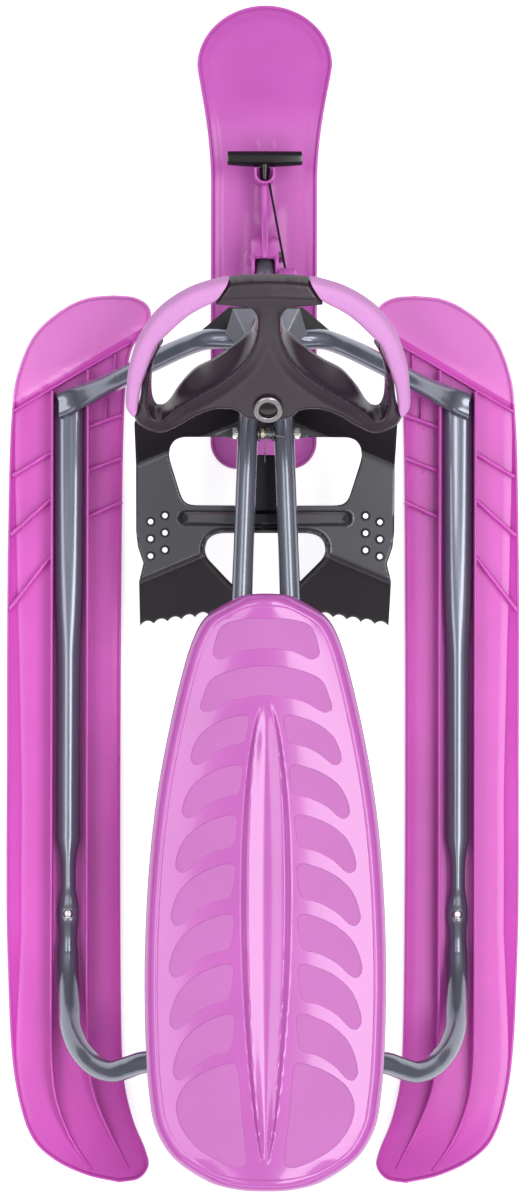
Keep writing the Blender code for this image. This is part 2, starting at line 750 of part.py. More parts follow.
def rail_left():
    """The left rail: squeezed where it lies in the ski, then round, up and in under the seat."""
    stations, widths, heights = (np.array(column) for column in zip(*RAIL_SQUEEZE))
    places = np.concatenate([np.linspace(a, b, 3)[:-1] for a, b in zip(stations, stations[1:])] + [stations[-1:]])
    half_heights = np.interp(places, stations, heights)
    straight = [(RAIL_X, y, SKI_SHEET + GAP + half) for y, half in zip(places, half_heights)]
    bow = [*RAIL_BEND, (0.050, 0.448, BOW_Z - 0.001), (0.026, 0.448, BOW_Z), (GAP / 2, 0.448, BOW_Z)]
    bend = smooth_route([straight[-1], *bow], 26)
    path = np.vstack((straight, bend[1:]))
    ways = directions(path, last=(-1.0, 0.0, 0.0))
    ways[:len(straight)] = (0.0, 1.0, 0.0)
    rest = np.full(len(bend) - 1, RAIL_RADIUS)
    half_widths = np.concatenate((np.interp(places, stations, widths), rest))
    # The flat front end is cut parallel to the ski's tip rib
    slant = (TIP_RIB_OUTER[1] - TIP_RIB_INNER[1]) / (TIP_RIB_OUTER[0] - TIP_RIB_INNER[0])
    rail = hollow_tube("side_rail_left", path, ways, half_widths, np.concatenate((half_heights, rest)),
                       (1.0, 0.0, 0.0), "grey_paint", slant)
    hole = drum("rail_screw_hole", (RAIL_X, SKI_SCREW_Y, 0.0), (RAIL_X, SKI_SCREW_Y, 0.03),
                SCREW_RADIUS + GAP, "grey_paint", SMALL_STEPS)
    return cut(rail, hole)


def cross_route():
    """Centre line of the left cross tube, from over the rail's front end up to the head."""
    corner_z = SKI_SHEET + 2 * RAIL_FLAT_HALF_HEIGHT + 2 * GAP + CROSS_END_HALF_HEIGHT + CROSS_END_LIFT
    route = ((0.2040, -0.1925, corner_z), (0.1910, -0.1980, corner_z), (0.1750, -0.2045, corner_z + 0.012),
             (0.1385, -0.2210, 0.074), (0.1110, -0.2340, 0.100), (0.0760, -0.2490, 0.131),
             (0.0560, CROSS_Y, 0.147), (0.0380, CROSS_Y, CROSS_Z), (CROSS_INNER_X, CROSS_Y, CROSS_Z))
    return smooth_route(route, 24)


def cross_tube_left():
    """The left cross tube: flat over the rail's front end, then round."""
    path = cross_route()
    squeezed = 1.0 - np.clip(np.linspace(0.0, 6.0, len(path)), 0.0, 1.0)
    half_widths = CROSS_RADIUS + squeezed * CROSS_END_SPREAD
    half_heights = CROSS_RADIUS - squeezed * (CROSS_RADIUS - CROSS_END_HALF_HEIGHT)
    ways = directions(path, last=(-1.0, 0.0, 0.0))
    return hollow_tube("cross_tube_left", path, ways, half_widths, half_heights, (0.0, 1.0, 0.0), "grey_paint")


def beam_route():
    """Centre line of the left main beam."""
    rear = (BEAM_BEND[0], BEAM_REAR_Y, BEAM_BEND[2])
    middle = (BEAM_BEND[0], (BEAM_BEND[1] + BEAM_REAR_Y) / 2, BEAM_BEND[2])
    after = (BEAM_BEND[0], BEAM_BEND[1] + 0.012, BEAM_BEND[2])
    before_y = BEAM_BEND[1] - 0.02
    before = (beam_side(before_y), before_y, beam_height(before_y))
    return np.array((BEAM_FRONT, before, after, middle, rear))


def beam_left():
    """The left main beam, from the cross tubes back under the seat, bored for the brake's bolt."""
    path = beam_route()
    round_part = np.full(len(path), BEAM_RADIUS)
    beam = hollow_tube("main_beam_left", path, directions(path), round_part, round_part, (1.0, 0.0, 0.0),
                       "grey_paint")
    bore = drum("beam_bore", BRAKE_PIVOT, BRAKE_PIVOT + np.array((0.06, 0.0, 0.0)),
                BRAKE_BOLT_RADIUS + GAP, "grey_paint", SMALL_STEPS)
    return cut(beam, bore)


def build_frame():
    """The welded frame: rails, cross tubes, beams, head tube, bracket and gusset."""
    pairs = ((rail_left, "side_rail_right"), (cross_tube_left, "cross_tube_right"),
             (beam_left, "main_beam_right"))
    for make, right_name in pairs:
        mirrored(make(), right_name)
    head_bore = COLUMN_RADIUS + GAP + BUSH_WALL + GAP
    top = -HEAD_TOP
    bottom = -HEAD_TOP - HEAD_LENGTH
    ring = ((head_bore, top), (HEAD_RADIUS, top), (HEAD_RADIUS, bottom), (head_bore, bottom))
    turned("head_tube", ring, COLUMN_FRAME, "grey_paint")
    inner = COLUMN_RADIUS + GAP
    outer = inner + BUSH_WALL
    for name, end, way in (("bushing_upper", top, 1.0), ("bushing_lower", bottom, -1.0)):
        profile = [(inner, end + way * (FLANGE + GAP)), (HEAD_RADIUS - 0.002, end + way * (FLANGE + GAP)),
                   (HEAD_RADIUS - 0.002, end + way * GAP), (outer, end + way * GAP),
                   (outer, end - way * BUSH_LENGTH), (inner, end - way * BUSH_LENGTH)]
        if way < 0:
            profile.reverse()
        turned(name, profile, COLUMN_FRAME, "white_plastic")
    cut_top = on_column(HEAD_TOP - HEAD_CUT_REACH)
    cut_bottom = on_column(HEAD_TOP + HEAD_LENGTH + HEAD_CUT_REACH)
    head_hole = drum("head_hole", cut_top, cut_bottom, HEAD_RADIUS + GAP, "grey_paint")
    rows = []
    for y, fold in ((BRACKET_FRONT_Y, BRACKET_FOLD + 0.004), (BRACKET_REAR_Y, BRACKET_FOLD - 0.005)):
        edge = BRACKET_TOP_Z - BRACKET_EDGE_DROP
        rows.append([(-BRACKET_HALF_WIDTH, y, edge), (-fold, y, BRACKET_TOP_Z), (fold, y, BRACKET_TOP_Z),
                     (BRACKET_HALF_WIDTH, y, edge)])
    bracket = grid_sheet("head_bracket", rows, BRACKET_SHEET, "grey_paint")
    cut(bracket, head_hole)
    gusset_top = CROSS_Z - CROSS_RADIUS - GAP
    outline = [*GUSSET_HALF, *[(-x, y) for x, y in reversed(GUSSET_HALF)]]
    frame = Matrix.Translation((0.0, 0.0, gusset_top - GUSSET_SHEET / 2))
    gusset = plate("gusset_plate", outline, GUSSET_SHEET, "black_paint", frame)
    gusset_hole = drum("gusset_hole", cut_top, cut_bottom, HEAD_RADIUS + GAP, "black_paint")
    cut(gusset, gusset_hole)
    for number, side in enumerate((1.0, -1.0)):
        route = cross_route()[8:] * np.array((side, 1.0, 1.0))
        slot = tube(f"gusset_slot_{number}", route, CROSS_RADIUS + 2 * GAP, "black_paint")
        cut(gusset, as_mesh(slot))


def build_side_skis():
    """Both side skis and the screws that hold the rails to them."""
    mirrored(side_ski_left(), "side_ski_right")
    head_z = SKI_SHEET + GAP + 2 * RAIL_SCREW_HALF_HEIGHT + 2 * GAP
    for side, name in ((1.0, "ski_screw_left"), (-1.0, "ski_screw_right")):
        x = side * RAIL_X
        bolt(name, (x, SKI_SCREW_Y, head_z), (x, SKI_SCREW_Y, 0.0015), SCREW_RADIUS, SCREW_HEAD_RADIUS,
             SCREW_HEAD_HEIGHT, "zinc")


# Front ski
def front_half_width(y):
    """Half the front ski's width: an oval tip, a narrower waist and a tail with round corners."""
    if y < FRONT_TIP_CENTRE_Y:
        return FRONT_TIP_HALF_WIDTH * math.sqrt(max(0.0, 1.0 - ((y - FRONT_TIP_CENTRE_Y) / FRONT_TIP_REACH) ** 2))
    if y < FRONT_WAIST_Y:
        share = ((y - FRONT_TIP_CENTRE_Y) / (FRONT_WAIST_Y - FRONT_TIP_CENTRE_Y)) ** FRONT_WAIST_POWER
        ease = share * share * (3 - 2 * share)
        return FRONT_TIP_HALF_WIDTH + (FRONT_HALF_WIDTH - FRONT_TIP_HALF_WIDTH) * ease
    corner_y = FRONT_TAIL_Y - FRONT_TAIL_CORNER
    if y < corner_y:
        return FRONT_HALF_WIDTH
    round_part = math.sqrt(max(0.0, FRONT_TAIL_CORNER ** 2 - (y - corner_y) ** 2))
    return FRONT_HALF_WIDTH - FRONT_TAIL_CORNER + round_part


def front_floor(y):
    """Underside height of the front ski: flat, with a tip that curves up."""
    span = FRONT_TIP_CENTRE_Y - FRONT_TIP_REACH - FRONT_RISE_START
    return FRONT_RISE * max(0.0, (y - FRONT_RISE_START) / span) ** 1.8


def front_stations():
    """Places along the front ski, closer together at its round tip and tail."""
    quarter = np.linspace(0.0, math.pi / 2, 8)
    tip = FRONT_TIP_CENTRE_Y - FRONT_TIP_REACH * np.cos(quarter)
    shares = np.array((0.14, 0.28, 0.44, 0.60, 0.78, 1.0))
    waist = FRONT_TIP_CENTRE_Y + (FRONT_WAIST_Y - FRONT_TIP_CENTRE_Y) * shares
    waist = np.concatenate((waist, [(FRONT_WAIST_Y + FRONT_TAIL_Y) / 2]))
    tail = FRONT_TAIL_Y - FRONT_TAIL_CORNER + FRONT_TAIL_CORNER * np.sin(quarter[::2])
    return np.concatenate((tip, waist, tail, [FRONT_TAIL_Y]))


def round_end_outline(start, start_radius, end, end_radius, count=7):
    """Outline of a lever: two round ends of unlike radius joined by straight sides."""
    start = np.array(start)
    end = np.array(end)
    heading = math.atan2(*(end - start)[::-1])
    lean = math.acos((start_radius - end_radius) / np.linalg.norm(end - start))
    points = []
    for centre, radius, low, high in ((start, start_radius, lean, 2 * math.pi - lean),
                                      (end, end_radius, -lean, lean)):
        for angle in np.linspace(low, high, count) + heading:
            points.append(centre + radius * np.array((math.cos(angle), math.sin(angle))))
    return points


def rope_at(y):
    """The point of the tow rope's line at a place along the sled."""
    share = (y - ROPE_FRONT[1]) / (ROPE_REAR[1] - ROPE_FRONT[1])
    return np.array(ROPE_FRONT) + share * (np.array(ROPE_REAR) - np.array(ROPE_FRONT))


def reel_centre():
    """Place and height of the reel's axis, which puts the rope just under the wound rope."""
    way = np.array(ROPE_REAR) - np.array(ROPE_FRONT)
    length = math.hypot(way[1], way[2])
    centre = rope_at(-0.300)[1:] + np.array((-way[2], way[1])) / length * (WINDING_RADIUS + ROPE_RADIUS + GAP)
    return float(centre[0]), float(centre[1])


REEL_Y, REEL_Z = reel_centre()


def build_front_ski():
    """The front ski's one moulding: sheet, lip, tower, fin and handle holder."""
    look = "pink_plastic"
    rows = []
    for y in front_stations():
        width = front_half_width(y)
        rows.append([(share * width, y, front_floor(y)) for share in (-1.0, -0.55, 0.0, 0.55, 1.0)])
    ski = grid_sheet("front_ski", rows, SKI_SHEET, look)
    rim = []
    for y in front_stations():
        rim.append((front_half_width(y), y))
    rim = rim[1:] + [(-x, y) for x, y in reversed(rim[1:])]
    rim = np.array([(0.0, FRONT_TIP_CENTRE_Y - FRONT_TIP_REACH)] + rim)
    along = np.roll(rim, -1, axis=0) - np.roll(rim, 1, axis=0)
    inward = np.column_stack((-along[:, 1], along[:, 0])) / np.linalg.norm(along, axis=1)[:, None]
    rim = rim + inward * (LIP_THICKNESS / 2 + GAP)
    path = [(x, y, front_floor(y) + SKI_SHEET) for x, y in rim]
    lip = upright_wall("front_ski_lip", path, LIP_THICKNESS, LIP_HEIGHT, look, 0.003, closed=True)

    pivot = SKI_PIVOT[1:]
    cheek_inner = COLUMN_RADIUS + TOWER_CLEARANCE
    cheek_x = cheek_inner + TOWER_SHEET / 2
    up = np.array((math.sin(RAKE), math.cos(RAKE)))
    top = pivot + up * TOWER_HEIGHT
    foot = SKI_SHEET - 0.002
    high = top[1] + 0.004
    wall_y = pivot[0] - TOWER_FRONT_REACH

    cheek_outline = [(wall_y - 0.001, foot), (wall_y - 0.001, high), (top[0] - 0.010, top[1] + 0.003),
                     (top[0] + 0.004, top[1] - 0.003), (pivot[0] + 0.020, pivot[1] + 0.004),
                     (pivot[0] + 0.040, foot)]
    cheeks = [plate(name, cheek_outline, TOWER_SHEET, look, side_frame(x))
              for name, x in (("cheek_left", cheek_x), ("cheek_right", -cheek_x))]
    reel_arm = plate("reel_arm", round_end_outline(pivot, 0.012, (REEL_Y, REEL_Z), 0.010), TOWER_SHEET - 2 * GAP,
                     look, side_frame(-cheek_x))
    wall_outline = [(wall_y, foot), (wall_y, high - GAP), (wall_y - TOWER_SHEET, high - GAP),
                    (wall_y - TOWER_SHEET, foot)]
    front_wall = plate("tower_front", wall_outline, 2 * cheek_inner + TOWER_SHEET, look, side_frame(0.0))
    fin_outline = [(CUP_Y - 0.001, foot), (wall_y - 0.001, foot), (wall_y - 0.001, high - 0.010),
                   (CUP_Y + 0.030, CUP_TOP_Z - 0.006), (CUP_Y - 0.001, CUP_TOP_Z - 0.008)]
    fin = plate("fin", fin_outline, FIN_THICKNESS, look, side_frame(0.0))
    cup = plate("handle_cup", cup_outline(), CUP_TOP_Z - foot, look,
                Matrix.Translation((0.0, 0.0, (CUP_TOP_Z + foot) / 2)))
    join(ski, lip, *cheeks, reel_arm, front_wall, fin, cup)
    far = cheek_inner + TOWER_SHEET + 0.010
    pin_hole = drum("pin_hole", (-far, *pivot), (far, *pivot), PIN_RADIUS + GAP, look, SMALL_STEPS)
    axle_hole = drum("axle_hole", (-far, REEL_Y, REEL_Z), (-cheek_inner + 0.004, REEL_Y, REEL_Z),
                     AXLE_RADIUS + GAP, look, SMALL_STEPS)
    rope_hole = drum("rope_hole", rope_at(-0.430), rope_at(-0.340), ROPE_HOLE_RADIUS, look, 10)
    return cut(ski, pin_hole, axle_hole, rope_hole)


def cup_outline():
    """Plan of the handle holder: a U with a round bottom that opens forward."""
    centre_y = CUP_Y - CUP_HALF_WIDTH
    angles = np.linspace(0.0, math.pi, 9)
    front = CUP_Y - CUP_DEPTH
    inner_radius = CUP_HALF_WIDTH - CUP_WALL
    outer = [(CUP_HALF_WIDTH * math.cos(a), centre_y + CUP_HALF_WIDTH * math.sin(a)) for a in angles]
    inner = [(inner_radius * math.cos(a), centre_y + inner_radius * math.sin(a)) for a in reversed(angles)]
    return [(CUP_HALF_WIDTH, front), *outer, (-CUP_HALF_WIDTH, front), (-inner_radius, front), *inner,
            (inner_radius, front)]


def build_pivot_pin():
    """The pin through the tower and the column's foot, with its nut."""
    outside = COLUMN_RADIUS + TOWER_CLEARANCE + TOWER_SHEET + GAP
    start = (outside, *SKI_PIVOT[1:])
    end = (-outside - NUT_HEIGHT - BOLT_SPARE, *SKI_PIVOT[1:])
    pin = bolt("ski_pivot_pin", start, end, PIN_RADIUS, PIN_HEAD_RADIUS, PIN_HEAD_HEIGHT, "zinc")
    pin_nut = nut("ski_pivot_nut", (-outside, *SKI_PIVOT[1:]), (-outside - NUT_HEIGHT, *SKI_PIVOT[1:]),
                  PIN_RADIUS, "zinc")
    return pin, pin_nut


def build_column():
    """The steering column, bored across for the wheel's bolt and the ski's pin, with its two collars."""
    column = drum("steering_column", on_column(COLUMN_TOP), on_column(PIVOT_DISTANCE + COLUMN_FOOT),
                  COLUMN_RADIUS, "grey_paint")
    bores = [drum(name, on_column(place, -0.03), on_column(place, 0.03), PIN_RADIUS + GAP, "grey_paint",
                  SMALL_STEPS)
             for name, place in (("column_top_bore", WHEEL_BOLT_DISTANCE), ("column_foot_bore", PIVOT_DISTANCE))]
    hollow = drum("column_hollow", on_column(0.0), on_column(PIVOT_DISTANCE + 2 * COLUMN_FOOT),
                  COLUMN_RADIUS - COLUMN_WALL, "grey_paint", SMALL_STEPS)
    cut(column, hollow, *bores)
    parts = [column]
    inner = COLUMN_RADIUS + GAP
    reach = FLANGE + 2 * GAP
    upper = -HEAD_TOP + reach
    lower = -HEAD_TOP - HEAD_LENGTH - reach - COLLAR_LENGTH
    for name, low in (("collar_upper", upper), ("collar_lower", lower)):
        high = low + COLLAR_LENGTH
        ring = ((inner, high), (COLLAR_RADIUS, high), (COLLAR_RADIUS, low), (inner, low))
        parts.append(turned(name, ring, COLUMN_FRAME, "grey_paint"))
    return parts


# Wheel outlines in the wheel's plane, right half: across, forward
WHEEL_TOP_BAR = ((0.0, 0.1420), (0.0370, 0.1390), (0.0505, 0.1140), (0.0350, 0.1120), (0.0200, 0.1090),
                 (0.0130, 0.1010), (0.0122, 0.0900), (0.0150, 0.0780), (0.0240, 0.0680))
WHEEL_WINDOW_LOW = ((0.0340, 0.0580), (0.0520, 0.0440), (0.0700, 0.0330), (0.0850, 0.0140), (0.0930, 0.0000),
                    (0.0990, -0.0060), (0.1055, -0.0060), (0.1095, 0.0020), (0.1105, 0.0250), (0.1075, 0.0480),
                    (0.0985, 0.0660))
WHEEL_STRIP = ((0.1045, 0.0655), (0.1122, 0.0440), (0.1190, 0.0225), (0.1228, -0.0030), (0.1280, -0.0110))
WHEEL_BOTTOM = ((0.1229, -0.0207), (0.1030, -0.0296), (0.0850, -0.0220), (0.0670, -0.0100), (0.0480, -0.0030),
                (0.0300, -0.0050), (0.0240, -0.0110), (0.0130, -0.0150), (0.0, -0.0165))
GRIP_OUTER = ((0.0380, 0.1388), (0.0480, 0.1363), (0.0750, 0.1245), (0.1025, 0.1040), (0.1205, 0.0768),
              (0.1310, 0.0450), (0.1345, 0.0180), (0.1345, -0.0020), (0.1290, -0.0110))
GRIP_INNER = ((0.1238, -0.0030), (0.1200, 0.0225), (0.1132, 0.0440), (0.1050, 0.0670), (0.0965, 0.0770),
              (0.0754, 0.0985), (0.0513, 0.1140))
WHEEL_CORE = ((0.0300, 0.1265), (0.0440, 0.1255), (0.0660, 0.1170), (0.0880, 0.1000), (0.1060, 0.0770),
              (0.1195, 0.0460), (0.1270, 0.0190), (0.1286, 0.0020), (0.1240, -0.0130))


def build_wheel():
    """The wheel: its black body with the hub and cores, two soft grips, the hub cap, bolt and nut."""
    half = (*WHEEL_TOP_BAR, *WHEEL_WINDOW_LOW, *WHEEL_STRIP, *WHEEL_BOTTOM)
    outline = [*half, *[(-x, y) for x, y in reversed(half[1:-1])]]
    middle = WHEEL_FRAME @ Matrix.Translation((0.0, 0.0, -WHEEL_DEPTH / 2))
    body = plate("wheel_body", outline, WHEEL_DEPTH, "black_plastic", middle, rounding=WHEEL_ROUNDING * 0.5)
    boss = drum("wheel_boss", on_column(WHEEL_DEPTH - 0.004), on_column(BOSS_LENGTH), BOSS_RADIUS, "black_plastic")
    for side in (1.0, -1.0):
        route = [middle @ Vector((side * x, y, 0.0)) for x, y in WHEEL_CORE]
        core = as_mesh(tube(f"wheel_core_{side:.0f}", smooth_route(route, 16), CORE_RADIUS, "black_plastic", 3))
        join(body, core)
    join(body, boss)
    bore = drum("wheel_bore", on_column(COLUMN_TOP - GAP), on_column(BOSS_LENGTH + 0.01), COLUMN_RADIUS + GAP,
                "black_plastic")
    bolt_bore = drum("wheel_bolt_bore", on_column(WHEEL_BOLT_DISTANCE, -0.04), on_column(WHEEL_BOLT_DISTANCE, 0.04),
                     PIN_RADIUS + GAP, "black_plastic", SMALL_STEPS)
    cut(body, bore, bolt_bore)
    grips = []
    for side, name in ((-1.0, "grip_left"), (1.0, "grip_right")):
        shape = [(side * x, y) for x, y in (*GRIP_OUTER, *GRIP_INNER)]
        grip = plate(name, shape, WHEEL_DEPTH, "pink_grip", middle, rounding=WHEEL_ROUNDING * 0.7)
        route = [middle @ Vector((side * x, y, 0.0)) for x, y in WHEEL_CORE]
        slot = as_mesh(tube(f"{name}_slot", smooth_route(route, 16), CORE_RADIUS + GAP, "pink_grip", 3))
        grips.append(cut(grip, slot))
    cap = turned("hub_cap", ((0.0, CAP_HEIGHT * 0.5), (CAP_RADIUS * 0.6, CAP_HEIGHT * 0.5),
                             (CAP_RADIUS * 0.72, CAP_HEIGHT), (CAP_RADIUS * 0.9, CAP_HEIGHT), (CAP_RADIUS, GAP),
                             (0.0, GAP)), COLUMN_FRAME, "zinc")
    reach = BOSS_RADIUS + GAP
    wheel_bolt = bolt("wheel_bolt", on_column(WHEEL_BOLT_DISTANCE, reach),
                      on_column(WHEEL_BOLT_DISTANCE, -reach - NUT_HEIGHT - BOLT_SPARE), PIN_RADIUS,
                      WHEEL_BOLT_HEAD_RADIUS, WHEEL_BOLT_HEAD_HEIGHT, "zinc")
    wheel_nut = nut("wheel_nut", on_column(WHEEL_BOLT_DISTANCE, -reach),
                    on_column(WHEEL_BOLT_DISTANCE, -reach - NUT_HEIGHT), PIN_RADIUS, "zinc")
    return [body, *grips, cap, wheel_bolt, wheel_nut]


def build_reel():
    """The rope reel: two housing halves, axle, rewind spring, spool and wound rope."""
    centre = Vector((0.0, REEL_Y, REEL_Z))
    frame = axis_frame(centre, (-1.0, 0.0, 0.0))
    near = -REEL_NEAR_X
    far = -REEL_FAR_X
    seam = near + REEL_RIM
    inside = REEL_RADIUS - REEL_WALL
    hole = AXLE_RADIUS + GAP
    housing = turned("reel_housing", ((hole, near), (hole, near + REEL_WALL), (inside, near + REEL_WALL),
                                      (inside, seam), (REEL_RADIUS, seam), (REEL_RADIUS, near)),
                     frame, "pink_plastic")
    cover = turned("reel_cover", ((hole, far - REEL_WALL), (hole, far), (REEL_RADIUS, far),
                                  (REEL_RADIUS, seam + GAP), (inside, seam + GAP), (inside, far - REEL_WALL)),
                   frame, "pink_plastic")
    mouth = drum("reel_mouth", rope_at(REEL_Y - 0.040), rope_at(REEL_Y - 0.010), ROPE_HOLE_RADIUS,
                 "pink_plastic", 10)
    cut(cover, mouth)
    spool_near = near + REEL_WALL + SPOOL_NEAR_ROOM
    spool_far = far - REEL_WALL - SPOOL_FAR_ROOM
    bore = AXLE_RADIUS + GAP
    flange = WINDING_RADIUS + FLANGE_REACH
    spool = turned("rope_spool", ((bore, spool_near), (bore, spool_far), (flange, spool_far),
                                  (flange, spool_far - SPOOL_FLANGE),
                                  (SPOOL_HUB_RADIUS, spool_far - SPOOL_FLANGE),
                                  (SPOOL_HUB_RADIUS, spool_near + SPOOL_FLANGE),
                                  (flange, spool_near + SPOOL_FLANGE),
                                  (flange, spool_near)), frame, "white_plastic")
    low = spool_near + SPOOL_FLANGE + GAP
    high = spool_far - SPOOL_FLANGE - GAP
    winding = turned("rope_winding", ((SPOOL_HUB_RADIUS + GAP, low), (SPOOL_HUB_RADIUS + GAP, high),
                                      (WINDING_RADIUS, high), (WINDING_RADIUS, low)), frame, "rope")
    spring_low = near + REEL_WALL + REWIND_ROOM
    angle = np.linspace(0.0, REWIND_TURNS * 2 * math.pi, REWIND_STEPS)
    inner_radius = AXLE_RADIUS + GAP + REWIND_ROOM
    radius = inner_radius + (inside - 2 * REWIND_SHEET - inner_radius) * angle / angle[-1]
    spiral = np.column_stack((radius * np.cos(angle), radius * np.sin(angle)))
    print_least_gap("rewind spring", spiral, REWIND_SHEET)
    rings = []
    for a, r in zip(angle, radius):
        out = np.array((0.0, math.cos(a), math.sin(a)))
        hub = np.array((0.0, REEL_Y, REEL_Z))
        rings.append([hub + out * (r + dr) + np.array((-(spring_low + dx), 0.0, 0.0))
                      for dr, dx in ((0.0, 0.0), (REWIND_SHEET, 0.0), (REWIND_SHEET, REWIND_WIDTH),
                                     (0.0, REWIND_WIDTH))])
    rewind = loft("rewind_spring", rings, "spring_steel")
    axle = bolt("reel_axle", (REEL_FAR_X - GAP, REEL_Y, REEL_Z),
                (-COLUMN_RADIUS - TOWER_CLEARANCE - AXLE_SHORT, REEL_Y, REEL_Z), AXLE_RADIUS, AXLE_HEAD_RADIUS,
                AXLE_HEAD_HEIGHT, "zinc")
    return {"ski": (housing, cover, rewind, axle), "spool": (spool, winding)}


def build_handle():
    """The pull handle with its neck in the holder, and the rope from the neck into the reel."""
    bar_y = CUP_Y - CUP_DEPTH - HANDLE_RADIUS - 0.0036
    z = ROPE_FRONT[2]
    neck_end = CUP_Y - CUP_WALL - 0.0012
    profile = []
    for share in np.linspace(-1.0, 1.0, 9):
        radius = HANDLE_RADIUS * (1.0 - 0.30 * abs(share) ** 2.2)
        profile.append((radius, share * HANDLE_LENGTH / 2))
    profile = [(0.0, profile[0][1]), *profile, (0.0, profile[-1][1])]
    profile.reverse()
    bar = turned("tow_handle", profile, axis_frame((0.0, bar_y, z), (1.0, 0.0, 0.0)), "black_plastic", 16)
    length = neck_end - bar_y
    neck = turned("handle_neck", ((0.0, length), (0.0040, length), (0.0052, length * 0.62), (0.0068, 0.004),
                                  (0.0068, 0.0), (0.0, 0.0)),
                  axis_frame((0.0, bar_y, z), (0.0, 1.0, 0.0)), "black_plastic", 14)
    join(bar, neck)
    start = rope_at(neck_end + GAP)
    rope = tube("tow_rope", (start, rope_at(-0.380), rope_at(-0.340), ROPE_REAR), ROPE_RADIUS, "rope", 2)
    return bar, rope


# The brake plate's left half, seen from above: its edge from the front to the rear corner, and its windows
BRAKE_CORNER = (0.1225, 0.0258)
BRAKE_MIDDLE_Y = 0.0065
BRAKE_EDGE = ((0.0, -0.1885), (0.104, -0.1885), (0.122, -0.184), (0.128, -0.172), (0.1265, -0.132), (0.1262, -0.067),
              (0.1245, -0.052), (0.1190, -0.036), (0.1232, -0.018), (0.1228, 0.008))
BRAKE_UPPER_WINDOW = ((0.0, -0.1570), (0.048, -0.1595), (0.0835, -0.1590), (0.0915, -0.1540), (0.0945, -0.1440),
                      (0.0935, -0.1370), (0.0815, -0.0990), (0.0780, -0.0945), (0.0720, -0.0928),
                      (0.0185, -0.0925), (0.0180, -0.1420), (0.0, -0.1420))
BRAKE_LOWER_WINDOW = ((0.0, -0.0655), (0.0450, -0.0655), (0.0550, -0.0615), (0.0592, -0.0520), (0.0580, -0.0425),
                      (0.0343, -0.0180), (0.0140, -0.0010), (0.0, 0.0000))
FOOT_HOLES = ((0.0980, -0.0825), (0.1120, -0.0765))
FOOT_HOLE_STEP = 0.0168
# How far the flat sheet runs past the outline that cuts it
BRAKE_SPARE = 0.02


def front_fold(x):
    """Place of the brake plate's front fold line, swept forward towards the middle."""
    return FRONT_FOLD_EDGE_Y - (BRAKE_HALF_WIDTH - abs(x)) * FOLD_SWEEP


def rear_fold(x):
    """Place of the brake plate's rear fold line."""
    return REAR_FOLD_EDGE_Y - (BRAKE_HALF_WIDTH - abs(x)) * FOLD_SWEEP


def tooth_edge():
    """The rear edge of the brake plate from left to middle: round scallops between pointed teeth."""
    corner = np.array(BRAKE_CORNER)
    middle = np.array((0.0, BRAKE_MIDDLE_Y))
    count = max(2, round(corner[0] / TOOTH_PITCH))
    points = []
    for index in range(count):
        for share, depth in ((0.0, 0.0), (0.25, 0.75), (0.5, 1.0), (0.75, 0.75)):
            along = corner + (middle - corner) * (index + share) / count
            points.append((along[0], along[1] - depth * TOOTH_DEPTH))
    return [*points, (0.0, middle[1])]


def both_sides(half):
    """A closed outline from its left half, whose first and last points lie on the middle line."""
    return [*half, *[(-x, y) for x, y in reversed(half[1:-1])]]


